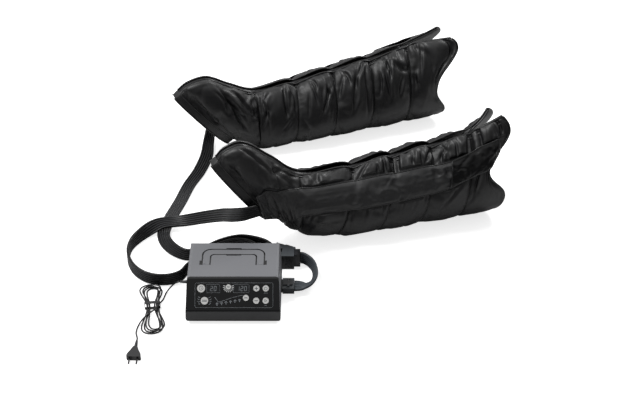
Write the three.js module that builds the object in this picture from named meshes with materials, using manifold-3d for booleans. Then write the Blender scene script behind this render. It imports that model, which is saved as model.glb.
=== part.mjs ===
// A pair of six-chamber air compression boots with their control unit, flat air hoses and mains lead.
// Millimetres. X runs to the right along the control unit's front, Y away from the user, Z up.
// The set is laid out around the control unit's footprint centre, and the finished group is moved
// so that the origin lies under the middle of the set, on the floor.
import * as THREE from "three";
import { mergeVertices } from "three/addons/utils/BufferGeometryUtils.js";
import Module from "manifold-3d";

const wasm = await Module();
wasm.setup();

// Clearances shared by every fit
const gap = 0.3;             // faces that rest on each other
const slideGap = 0.4;        // pieces that move past each other

// Control unit
const unitWidth = 240;
const unitDraft = 5;         // each side leans in by this much towards the top
const unitHeight = 105;
const footHeight = 4;
const footDiameter = 16;
const footPinDiameter = 6;
const footInset = 24;
const bandHeight = 40;       // top of the front band, above the floor
const unitFront = -97;
const unitRear = 96;
const rearTuck = 13;         // the rear wall's foot lies this much further in than its top
const rearBend = 58;         // height of the bend in the rear wall
const panelRun = 54.5;       // depth taken by the sloping panel
const wall = 2.6;
const fasciaThickness = 3.2;
const splitHeight = 41;      // where the grey cover meets the dark base

// Control panel: places are across the panel from its middle and up the slope from its lower edge
const overlayWidth = unitWidth - 42;
const overlayHeight = 65;
const overlayMiddle = [3, 41];
const overlayThickness = 0.8;
const overlayRecess = 0.5;
const buttonRise = 2.4;
const buttonTravel = 0.8;
const buttonStem = 4;
const buttonFlange = 1.6;
const buttons = [
  { name: "timer_button", at: [-79, 58], diameter: 20 },
  { name: "pressure_button", at: [-10.7, 61.8], diameter: 13 },
  { name: "mode_button", at: [-70.5, 27.4], diameter: 19 },
  { name: "chamber_button", at: [32.8, 34.6], diameter: 15 },
  { name: "increase_button", at: [59, 58.1], diameter: 15.5 },
  { name: "power_button", at: [82.4, 58.1], diameter: 15.5 },
  { name: "decrease_button", at: [58.6, 27.4], diameter: 15.5 },
  { name: "start_button", at: [82.2, 27.4], diameter: 15.5 },
].map(({ name, at: [across, up], diameter }) => (
  { name, at: [across * overlayWidth / 198, up], diameter }    // places as on a 198 mm wide overlay
));

// Carry handle, folded into the cover
const handleSpan = 137;      // between the middles of its legs
const handleBar = 17;        // width of the bar and the legs
const handleThickness = 7;
const handleFront = 8;       // where the legs end, near the panel
const handleRear = 66;       // far side of the bar
const handleMiddle = -2;
const handleCorner = 20;
const pinDiameter = 5;
const pinLength = 6;
const fingerWidth = 39;
const fingerDepth = 13;      // clear height under the bar
const fingerReach = 6;       // how far the finger recess runs past the bar on each side

// Inside the unit
const boardThickness = 1.6;
const boardDrop = 12;        // from the panel's outer face to the board
const pumpDiameter = 46;
const pumpLength = 78;
const valveDiameter = 52;
const rotorDiameter = 34;

// Flat hoses with six air ways
const hoseWidth = 37;
const hoseThickness = 7;
const hoseEdge = hoseWidth / 2 + 1.5;        // height of its middle when it stands on edge

// Hose plugs, splitter and socket
const plugWidth = 43;
const plugThickness = 19;
const plugLength = 26;
const unitPlugLength = 30;
const plugLift = 2;
const splitterLength = 32;
const splitterCollar = 16;
const splitterAt = [118, 121];               // its front socket's face
const rearSocketAngle = -25;                 // degrees, the rear socket fans out
const rearAt = [124, 150];                   // its face
const socketMiddle = [25, 18];               // across and up on the unit's right wall

// Mains lead
const cordDiameter = 4;
const glandLength = 22;
const glandAt = [32, 26];                    // Y and Z on the unit's left wall
const hankMiddle = [-208, -40];
const hankTurn = 7.5;                        // degrees, its top end leans to the left
const hankReach = [82, 98];                  // from the tie to its far and near ends
const hankPitch = 5.5;
const hankLayer = 6.4;
const hankWaist = 5;                         // half the width of the innermost turn at the tie
const hankBulge = [7, 12];                   // swell of the innermost and outermost turns
const hankTurns = 2;                         // turns in each of its two layers
const hankFan = 4;                           // degrees between the layers, each way
const tieWidth = 9;
const tieWall = 1.2;
const mainsPlug = { width: 35.3, length: 36, thickness: 13.7, pinPitch: 19, pin: 4, pinLength: 19 };
const mainsPlugAt = [-237, -228.4];          // middle of the plug's face
const mainsPlugTurn = -2;

// Boots. A station is a plane across the boot: where it meets the calf line and the zip ridge,
// as distance from the heel along the leg and height, with half its width, how far the ridge lies
// behind the calf line, and half the gap at the zip.
const seamWall = 3;                          // two welded layers of cloth
const crownOut = 7;                          // swell of a chamber, outwards
const crownIn = 9;                           // and inwards
const flatCut = 0.5;                         // depth of the flat that rests on the floor
const rest = crownOut - flatCut;
const zipHalfGap = 10;
const nearStations = [
  { calf: [36, 98], ridge: [-104, 292], half: 42, lean: 8 },
  { calf: [46, 87], ridge: [-86, 308], half: 50, lean: 12 },
  { calf: [58, 73], ridge: [-38, 318], half: 55, lean: 16 },
  { calf: [74, 56], ridge: [40, 258], half: 57, lean: 18 },
  { calf: [94, 40], ridge: [112, 196], half: 60, lean: 20 },
  { calf: [187, rest + 5], ridge: [258, 189], half: 74, lean: 20 },
  { calf: [302, rest], ridge: [367, 202.4], half: 82, lean: 20 },
  { calf: [417, rest], ridge: [476, 215.7], half: 82, lean: 20 },
  { calf: [532, rest], ridge: [585, 229], half: 84, lean: 20 },
  { calf: [668, rest + 2], ridge: [690, 270], half: 84, lean: 20, zipGap: 32 },
];
const farStations = [
  { calf: [26, 44], ridge: [-124, 226], half: 42, lean: 8 },
  { calf: [37, 34], ridge: [-100, 240], half: 50, lean: 12 },
  { calf: [48, 23], ridge: [-42, 246], half: 55, lean: 16 },
  { calf: [64, 12], ridge: [26, 208], half: 57, lean: 18 },
  { calf: [84, rest], ridge: [94, 174], half: 60, lean: 20 },
  { calf: [186, rest], ridge: [218, 178], half: 74, lean: 20 },
  { calf: [300, rest], ridge: [332, 193.7], half: 82, lean: 20 },
  { calf: [415, rest], ridge: [446, 209.3], half: 82, lean: 20 },
  { calf: [530, rest], ridge: [560, 225], half: 84, lean: 20 },
  { calf: [662, rest + 2], ridge: [722, 240], half: 84, lean: 20, zipGap: 32 },
];
const footStations = 4;                      // stations from the sole to the ankle seam
const thighNotch = 60;                       // how far the thigh end is hollowed between its corners
const farFlapShort = 36;                     // the far flap ends this much nearer the heel
const soleThickness = 24;
// The sleeve's edges: station, then lower and upper edge as shares of the way from calf to ridge
const sleevePlan = [
  [1.1, 0.17, 0.52], [2, 0.18, 0.54], [3, 0.3, 0.7], [4, 0.49, 0.88], [5, 0.62, 0.89], [7, 0.6, 0.88],
  [8, 0.64, 0.89], [8.6, 0.75, 0.91],
];
const sleeveLift = crownOut + 0.4;
const sleeveWall = 2.2;
const sleeveSwell = 6;
const zipTape = 1.2;
const zipChain = [6, 4];                     // width and height of the closed teeth
const sliderSize = [24, 11, 3];
const pullSize = [26, 6, 1.4];
const boots = [
  { name: "near", heel: [57.6, 224.7], turn: 15, outer: -1, stations: nearStations, mouth: [1.1, 26] },
  { name: "far", heel: [-58, 646], turn: 18.7, outer: 1, stations: farStations, mouth: [3, 10] },
];

const materials = {
  darkPlastic: paint("#2c2d30", 0.45),
  greyPlastic: paint("#77787c", 0.5),
  glossBlack: paint("#0d0e10", 0.12),
  whitePlastic: paint("#f2f2f0", 0.35),
  rubber: paint("#161616", 0.8),
  hose: paint("#1b1b1c", 0.55),
  greyHose: paint("#4a4f54", 0.5),
  board: paint("#1f5b3a", 0.5),
  metal: paint("#b9bcc0", 0.3, 1),
  nylon: paint("#1c1c1e", 0.5),
  band: paint("#232325", 0.6),
  zip: paint("#101011", 0.6),
  brass: paint("#c8a45a", 0.35, 1),
};
function paint(color, roughness, metalness = 0) {
  return new THREE.MeshStandardMaterial({ color, roughness, metalness });
}

const set = new THREE.Group();
function add(name, shape, material, parent = set) {
  const geometry = shape.isBufferGeometry ? shape : toGeometry(shape);
  const mesh = new THREE.Mesh(geometry, material);
  mesh.name = name;
  parent.add(mesh);
  return mesh;
}

// Solids from geometries and back
function toSolid(geometry) {
  const bare = geometry.clone();
  bare.deleteAttribute("normal");
  bare.deleteAttribute("uv");
  const welded = mergeVertices(bare, 1e-4);
  const vertProperties = new Float32Array(welded.attributes.position.array);
  const triVerts = new Uint32Array(welded.index.array);
  return new wasm.Manifold(new wasm.Mesh({ numProp: 3, vertProperties, triVerts }));
}
function toGeometry(solid) {
  const mesh = solid.getMesh();
  const geometry = new THREE.BufferGeometry();
  const places = [];
  for (let i = 0; i < mesh.numVert; i += 1) {
    for (let k = 0; k < 3; k += 1) places.push(mesh.vertProperties[i * mesh.numProp + k]);
  }
  geometry.setAttribute("position", new THREE.Float32BufferAttribute(places, 3));
  geometry.setIndex(Array.from(mesh.triVerts));
  geometry.computeVertexNormals();
  return geometry;
}
const joined = (first, ...rest) => rest.reduce((sum, piece) => sum.add(piece), first);
const cut = (first, ...rest) => rest.reduce((left, piece) => left.subtract(piece), first);

// Shapes and simple bodies
function roundPoly(points) {
  const shape = new THREE.Shape();
  points.forEach(([x, y, round = 0], i) => {
    const here = new THREE.Vector2(x, y);
    const towards = (j) => {
      const other = points[(j + points.length) % points.length];
      return new THREE.Vector2(other[0], other[1]).sub(here).setLength(round).add(here);
    };
    const first = round ? towards(i - 1) : here;
    if (i === 0) shape.moveTo(first.x, first.y);
    else shape.lineTo(first.x, first.y);
    if (round) {
      const last = towards(i + 1);
      shape.quadraticCurveTo(x, y, last.x, last.y);
    }
  });
  return shape;
}
function insetPoly(points, depth) {
  const normal = (a, b) => new THREE.Vector2(a[1] - b[1], b[0] - a[0]).normalize();
  return points.map((point, i) => {
    const before = normal(points[(i + points.length - 1) % points.length], point);
    const after = normal(point, points[(i + 1) % points.length]);
    const move = before.clone().add(after).multiplyScalar(depth / (1 + before.dot(after)));
    return [point[0] + move.x, point[1] + move.y, Math.max((point[2] ?? 0) - depth, 0)];
  });
}
function extrude(shape, depth, curveSegments = 4) {
  return new THREE.ExtrudeGeometry(shape, { depth, bevelEnabled: false, curveSegments });
}
const alongZ = (shape, z0, z1, segments) => toSolid(extrude(shape, z1 - z0, segments).translate(0, 0, z0));
function alongX(shape, x0, x1, segments) {
  const turn = new THREE.Matrix4().set(0, 0, 1, x0, 1, 0, 0, 0, 0, 1, 0, 0, 0, 0, 0, 1);
  return toSolid(extrude(shape, x1 - x0, segments).applyMatrix4(turn));
}
function alongY(shape, y0, y1, segments) {
  const turn = new THREE.Matrix4().set(1, 0, 0, 0, 0, 0, -1, y1, 0, 1, 0, 0, 0, 0, 0, 1);
  return toSolid(extrude(shape, y1 - y0, segments).applyMatrix4(turn));
}
function rectangle(x0, y0, x1, y1, round = 0) {
  return roundPoly([[x0, y0, round], [x1, y0, round], [x1, y1, round], [x0, y1, round]]);
}
function box(x0, x1, y0, y1, z0, z1) {
  const body = new THREE.BoxGeometry(x1 - x0, y1 - y0, z1 - z0);
  return toSolid(body.translate((x0 + x1) / 2, (y0 + y1) / 2, (z0 + z1) / 2));
}
function cylinder(diameter, length, sides = 20) {
  return new THREE.CylinderGeometry(diameter / 2, diameter / 2, length, sides).rotateX(Math.PI / 2);
}
function upright(diameter, x, y, z0, z1, sides) {
  return toSolid(cylinder(diameter, z1 - z0, sides).translate(x, y, (z0 + z1) / 2));
}

// A closed body from rings of equally many points, each ring facing back along the run
function loft(rings) {
  const count = rings[0].length;
  const middle = (ring) => ring.reduce((sum, p) => sum.add(p), new THREE.Vector3()).divideScalar(count);
  const places = rings.flat().concat([middle(rings[0]), middle(rings[rings.length - 1])]);
  const first = rings.length * count;
  const faces = [];
  for (let j = 0; j < count; j += 1) {
    const next = (j + 1) % count;
    for (let i = 0; i + 1 < rings.length; i += 1) {
      const a = i * count;
      const b = a + count;
      faces.push(a + j, a + next, b + next, a + j, b + next, b + j);
    }
    const end = first - count;
    faces.push(first, next, j, first + 1, end + j, end + next);
  }
  return facing(places, faces);
}
// A closed body between two sheets of points that lie over each other
function slab(outer, inner) {
  const rows = outer.length;
  const columns = outer[0].length;
  const places = outer.flat().concat(inner.flat());
  const out = (i, j) => i * columns + j;
  const inn = (i, j) => rows * columns + out(i, j);
  const faces = [];
  const quad = (a, b, c, d) => faces.push(a, b, c, a, c, d);
  for (let i = 0; i + 1 < rows; i += 1) {
    for (let j = 0; j + 1 < columns; j += 1) {
      quad(out(i, j), out(i, j + 1), out(i + 1, j + 1), out(i + 1, j));
      quad(inn(i, j), inn(i + 1, j), inn(i + 1, j + 1), inn(i, j + 1));
    }
    quad(out(i, 0), out(i + 1, 0), inn(i + 1, 0), inn(i, 0));
    quad(out(i + 1, columns - 1), out(i, columns - 1), inn(i, columns - 1), inn(i + 1, columns - 1));
  }
  for (let j = 0; j + 1 < columns; j += 1) {
    quad(out(0, j + 1), out(0, j), inn(0, j), inn(0, j + 1));
    quad(out(rows - 1, j), out(rows - 1, j + 1), inn(rows - 1, j + 1), inn(rows - 1, j));
  }
  return facing(places, faces);
}
// The same triangles, turned over when they face inwards
function facing(places, faces) {
  let volume = 0;
  for (let i = 0; i < faces.length; i += 3) {
    const [a, b, c] = [places[faces[i]], places[faces[i + 1]], places[faces[i + 2]]];
    volume += a.dot(b.clone().cross(c));
  }
  if (volume < 0) faces.reverse();
  const geometry = new THREE.BufferGeometry().setFromPoints(places);
  geometry.setIndex(faces);
  geometry.computeVertexNormals();
  return geometry;
}
// Points of a ring across a run: side lies level, and roll turns the ring about the run
function ringAt(middle, along, section, roll) {
  const side = new THREE.Vector3(along.y, -along.x, 0).normalize();
  const up = side.clone().cross(along).normalize();
  const [c, s] = [Math.cos(roll), Math.sin(roll)];
  return section.map(([w, h]) => middle.clone()
    .addScaledVector(side, w * c - h * s)
    .addScaledVector(up, w * s + h * c));
}
function sweep(points, section, rolls = null, ends = []) {
  const rings = points.map((point, i) => {
    const before = points[Math.max(i - 1, 0)];
    const after = points[Math.min(i + 1, points.length - 1)];
    let along = after.clone().sub(before);
    if (i === 0 && ends[0]) along = ends[0].clone();
    if (i === points.length - 1 && ends[1]) along = ends[1].clone();
    return ringAt(point, along.normalize(), section, rolls ? rolls[i] : 0);
  });
  return loft(rings);
}
function roundSection(diameter, sides) {
  const angle = (i) => 2 * Math.PI * (i + 0.5) / sides;
  const place = (i) => [Math.cos(angle(i)) * diameter / 2, Math.sin(angle(i)) * diameter / 2];
  return Array.from({ length: sides }, (_, i) => place(i));
}
function flatSection(width, thickness) {
  const [w, h] = [width / 2, thickness / 2];
  const side = [[w, -h * 0.4], [w, h * 0.4], [w - h * 0.6, h]];
  const right = [[w - h * 0.6, -h], ...side];
  return right.concat(right.map(([x, y]) => [-x, -y]));
}
const vectors = (rows) => rows.map((row) => new THREE.Vector3(...row));

buildUnit();
buildHoses();
buildMains();
boots.forEach(buildBoot);

// The control unit: dark base, grey cover, sloping glossy panel, handle, buttons and works
function buildUnit() {
  const half = unitWidth / 2;
  const panelTop = unitFront + panelRun;
  const panelRise = unitHeight - bandHeight;
  const slope = Math.atan2(panelRise, panelRun);
  const side = [
    [unitRear - rearTuck, footHeight, 8], [unitRear, rearBend, 10], [unitRear, unitHeight, 7],
    [panelTop, unitHeight, 3], [unitFront, bandHeight, 4], [unitFront, footHeight, 9],
  ];
  const front = [
    [-half, footHeight, 15], [half, footHeight, 15],
    [half - unitDraft, unitHeight, 7], [unitDraft - half, unitHeight, 7],
  ];
  const hull = (inset) => {
    const across = alongX(roundPoly(insetPoly(side, inset)), -half, half);
    return across.intersect(alongY(roundPoly(insetPoly(front, inset)), unitFront - 1, unitRear + 1));
  };
  const outside = hull(0);
  const shell = outside.subtract(hull(wall));

  // Anything built flat with its outer face at z = 0 is laid on the panel by onPanel
  const onPanel = (geometry, across, up) => geometry
    .clone()
    .rotateX(slope)
    .translate(across, unitFront + up * Math.cos(slope), bandHeight + up * Math.sin(slope));
  const slopeLength = Math.hypot(panelRun, panelRise);
  const panelSlab = (depth) => {
    const body = new THREE.BoxGeometry(unitWidth + 2, slopeLength * 2, depth + 20);
    return toSolid(onPanel(body.translate(0, 0, 10 - depth / 2), 0, slopeLength / 2));
  };
  const low = box(-half - 1, half + 1, unitFront - 1, unitRear + 1, -1, splitHeight - gap);
  const high = box(-half - 1, half + 1, unitFront - 1, unitRear + 1, splitHeight, unitHeight + 1);
  const open = panelSlab(fasciaThickness + gap);
  const frontBlock = box(-half - 1, half + 1, unitFront - 1, unitFront + 12, -1, bandHeight - 1);

  // Base: floor, band and lower walls, with holes for the feet, the gland and the socket
  const feet = [-1, 1].flatMap((x) => [unitFront + footInset, unitRear - rearTuck - footInset]
    .map((y) => [x * (half - footInset), y]));
  let base = shell.intersect(low).subtract(open.subtract(frontBlock));
  feet.forEach(([x, y]) => {
    base = base.subtract(upright(footPinDiameter + 2 * gap, x, y, 0, footHeight + wall + 1, 12));
  });
  const glandHole = cylinder(8 + 2 * gap, 12, 12).rotateY(Math.PI / 2).translate(-half, ...glandAt);
  const [socketY, socketZ] = socketMiddle;
  const socketHalf = [plugWidth / 2 - 3, plugThickness / 2 - 2.5];
  const socketHole = box(half - 9, half + 1, socketY - socketHalf[0] - gap, socketY + socketHalf[0] + gap,
    socketZ - socketHalf[1] - gap, socketZ + socketHalf[1] + gap);
  base = cut(base, toSolid(glandHole), socketHole);
  // Cradle ribs carry the pump, and a pad carries the valve
  const valveAt = [half - 68, 30];
  const pumpAt = [valveAt[0] - 90, 20, footHeight + wall + 4 + pumpDiameter / 2];
  const cradle = (x) => box(x - 2, x + 2, pumpAt[1] - 20, pumpAt[1] + 20,
    footHeight + wall - 0.5, pumpAt[2] - 8);
  const pumpRoom = cylinder(pumpDiameter + 2 * gap, 400, 24).rotateY(Math.PI / 2).translate(...pumpAt);
  const cradles = joined(cradle(pumpAt[0] - 22), cradle(pumpAt[0] + 22)).subtract(toSolid(pumpRoom));
  const valveFloor = footHeight + wall + 6;
  const pad = upright(valveDiameter - 8, ...valveAt, footHeight + wall - 0.5, valveFloor, 20);
  add("base_shell", joined(base, cradles, pad), materials.darkPlastic);

  feet.forEach(([x, y], i) => {
    const foot = joined(
      upright(footDiameter, x, y, 0, footHeight - gap, 16),
      upright(footPinDiameter, x, y, footHeight - gap - 0.5, footHeight + wall, 12),
    );
    add(`foot_${i + 1}`, foot, materials.rubber);
  });

  // Cover with the pocket that the handle folds into, and the finger recess under its bar
  const legOuter = handleSpan / 2 + handleBar / 2;
  const pocketWall = 2;
  const pocketFloor = unitHeight - handleThickness - slideGap;
  const handleOutline = (grow) => {
    const rear = handleRear + grow;
    const outer = legOuter + grow;
    const inner = handleSpan / 2 - handleBar / 2 - grow;
    const front = handleFront - grow;
    const barFront = handleRear - handleBar - grow;
    const [round, inside] = [handleCorner + grow, handleCorner - handleBar / 2 - grow];
    return roundPoly([
      [-outer, front], [-inner, front], [-inner, barFront, inside], [inner, barFront, inside],
      [inner, front], [outer, front], [outer, rear, round], [-outer, rear, round],
    ].map(([x, ...rest]) => [x + handleMiddle, ...rest]));
  };
  const pinRun = legOuter + pinLength;
  const pinZ = unitHeight - handleThickness / 2;
  const pinY = handleFront + handleThickness / 2;
  const notch = (s, grow) => {
    const [a, b] = [legOuter - 1, pinRun + slideGap + grow].map((x) => s * x + handleMiddle);
    return box(Math.min(a, b), Math.max(a, b), handleFront - slideGap - grow,
      handleFront + handleThickness + slideGap + grow, pocketFloor - grow, unitHeight + 1);
  };
  const fingerBox = (grow) => box(
    handleMiddle - fingerWidth / 2 - grow, handleMiddle + fingerWidth / 2 + grow,
    handleRear - handleBar - fingerReach - grow, handleRear + fingerReach + grow,
    pocketFloor - fingerDepth - grow, unitHeight + 1,
  );
  const pocketShell = joined(
    alongZ(handleOutline(slideGap + pocketWall), pocketFloor - pocketWall, unitHeight - wall / 2),
    fingerBox(pocketWall), notch(-1, pocketWall), notch(1, pocketWall),
  ).intersect(outside);
  const pocket = joined(
    alongZ(handleOutline(slideGap), pocketFloor, unitHeight + 1),
    fingerBox(0), notch(-1, 0), notch(1, 0),
  );
  const cover = shell.intersect(high).subtract(open).add(pocketShell).subtract(pocket);
  add("top_cover", cover, materials.greyPlastic);

  const pins = toSolid(cylinder(pinDiameter, 2 * pinRun, 14).rotateY(Math.PI / 2)
    .translate(handleMiddle, pinY, pinZ));
  const innerLeg = handleSpan / 2 - handleBar / 2;
  const pinCore = box(handleMiddle - innerLeg - 4, handleMiddle + innerLeg + 4,
    pinY - 6, pinY + 6, pinZ - 6, pinZ + 6);
  const bail = alongZ(handleOutline(0), unitHeight - handleThickness, unitHeight - 0.3);
  const legEnds = (y0, y1, z0, z1) => box(-half, half, y0, y1, z0, z1);
  const roundEnd = toSolid(cylinder(handleThickness - 0.3, 2 * half, 16).rotateY(Math.PI / 2)
    .translate(0, pinY, pinZ - 0.15));
  const squareEnd = legEnds(handleFront - 1, pinY, 0, unitHeight + 1).subtract(roundEnd);
  add("carry_handle", bail.subtract(squareEnd).add(pins.subtract(pinCore)), materials.greyPlastic);

  // Sloping glossy fascia with the overlay's recess, the button holes and four board posts
  const [overlayX, overlayUp] = overlayMiddle;
  const overlayShape = (grow) => rectangle(-overlayWidth / 2 - grow, -overlayHeight / 2 - grow,
    overlayWidth / 2 + grow, overlayHeight / 2 + grow, 4);
  const laid = (shape, top, depth, across, up) => toSolid(
    onPanel(extrude(shape, depth, 3).translate(0, 0, top - depth), across, up));
  const disc = (diameter, top, depth, [across, up], sides = 14) => toSolid(onPanel(
    cylinder(diameter, depth, sides).translate(0, 0, top - depth / 2), across, up));
  let fascia = outside.intersect(panelSlab(fasciaThickness)).subtract(frontBlock);
  fascia = fascia.subtract(laid(overlayShape(gap), 1, 1 + overlayRecess + gap, overlayX, overlayUp));
  const overlayTop = overlayThickness - overlayRecess;
  let overlay = laid(overlayShape(0), overlayTop, overlayThickness, overlayX, overlayUp);
  const posts = [-1, 1].flatMap((x) => [-1, 1].map((y) => [
    overlayX + x * (overlayWidth / 2 + 2), overlayUp + y * 15]));
  posts.forEach((at) => {
    fascia = fascia.add(disc(6, -fasciaThickness + 0.5, boardDrop - fasciaThickness + 0.5 - gap, at, 8));
  });
  buttons.forEach(({ at, diameter }) => {
    fascia = fascia.subtract(disc(diameter + 2 * slideGap, 5, 5 + fasciaThickness + 1, at));
    overlay = overlay.subtract(disc(diameter + 2 * slideGap, 5, 8, at));
  });
  add("front_fascia", fascia, materials.glossBlack);
  add("panel_overlay", overlay, materials.glossBlack);

  // Buttons: a cap through the panel, a flange that keeps it in, and a stem over its switch
  const flangeTop = -fasciaThickness - gap;
  const stemFoot = -boardDrop + 1 + buttonTravel + 0.2;
  buttons.forEach(({ name, at, diameter }) => {
    const button = joined(
      disc(diameter, buttonRise, buttonRise - flangeTop + 0.2, at),
      disc(diameter + 2 * buttonFlange, flangeTop, 1.2, at),
      disc(buttonStem, flangeTop - 1, flangeTop - 1 - stemFoot, at, 8),
    );
    add(name, button, materials.whitePlastic);
  });

  // Board behind the panel: it takes the posts' ends, and carries a low switch under each button
  const boardHalf = overlayWidth / 2 + 6;
  const boardShape = rectangle(-boardHalf, -22, boardHalf, 24);
  let board = laid(boardShape, -boardDrop, boardThickness, overlayX, overlayUp);
  buttons.forEach(({ at }) => {
    board = board.add(disc(6, -boardDrop + 1, 1.4, at, 8));
  });
  add("control_board", board, materials.board);

  // Air pump in its cradle, valve on its pad, and the rotor that opens one chamber after another
  const pump = joined(
    toSolid(cylinder(pumpDiameter, pumpLength, 24).rotateY(Math.PI / 2).translate(...pumpAt)),
    toSolid(cylinder(10, 14, 12).rotateY(Math.PI / 2)
      .translate(pumpAt[0] + pumpLength / 2 + 6, pumpAt[1], pumpAt[2])),
  );
  add("air_pump", pump, materials.metal);
  const valveTop = valveFloor + 24;
  const valve = cut(
    joined(
      upright(valveDiameter, ...valveAt, valveFloor + gap, valveTop, 24),
      box(valveAt[0] + 20, valveAt[0] + 34, valveAt[1] - 17, valveAt[1] + 7,
        valveFloor + 4, valveFloor + 14),
    ),
    upright(rotorDiameter + 2 * slideGap, ...valveAt, valveTop - 8, valveTop + 1, 24),
  );
  add("valve_body", valve, materials.darkPlastic);
  const rotor = joined(
    upright(rotorDiameter, ...valveAt, valveTop - 8 + slideGap, valveTop - 1, 24),
    upright(10, ...valveAt, valveTop - 1.5, valveTop + 8, 12),
  ).subtract(upright(5, valveAt[0] + 11, valveAt[1], 0, 90, 8));
  add("valve_rotor", rotor, materials.whitePlastic);

  // Socket on the right wall: a flanged mouth with six nozzles' plate behind it
  const mouth = joined(
    box(half - 22, half - 8, socketY - plugWidth / 2, socketY + plugWidth / 2,
      socketZ - socketHalf[1], socketZ + plugThickness / 2),
    box(half - 9, half + 1.5, socketY - socketHalf[0], socketY + socketHalf[0],
      socketZ - socketHalf[1], socketZ + socketHalf[1]),
  );
  const throat = box(half - 10, half + 2, socketY - socketHalf[0] + 2, socketY + socketHalf[0] - 2,
    socketZ - socketHalf[1] + 2, socketZ + socketHalf[1] - 2);
  add("air_socket", mouth.subtract(throat), materials.darkPlastic);

  // Flat duct from the valve to the socket
  const ductFrom = valveAt[0] + 34 + gap;
  const duct = box(ductFrom, half - 22 - gap, socketY - 16, socketY + 12, valveFloor + 5, valveFloor + 12);
  add("outlet_duct", duct, materials.rubber);

  // Tapered strain relief of the mains lead, seated in the left wall
  const reliefProfile = [[0, -7.4], [6, -7.4], [6, -4.4], [4, -4.4], [4, 1], [5.5, 1], [5.5, 3],
    [4.4, 6], [cordDiameter / 2 + 0.8, glandLength], [0, glandLength]];
  const relief = new THREE.LatheGeometry(reliefProfile.map(([r, h]) => new THREE.Vector2(r, h)), 12);
  relief.rotateZ(Math.PI / 2).translate(-half, ...glandAt);
  add("cord_gland", toSolid(relief), materials.rubber);
}

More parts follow.
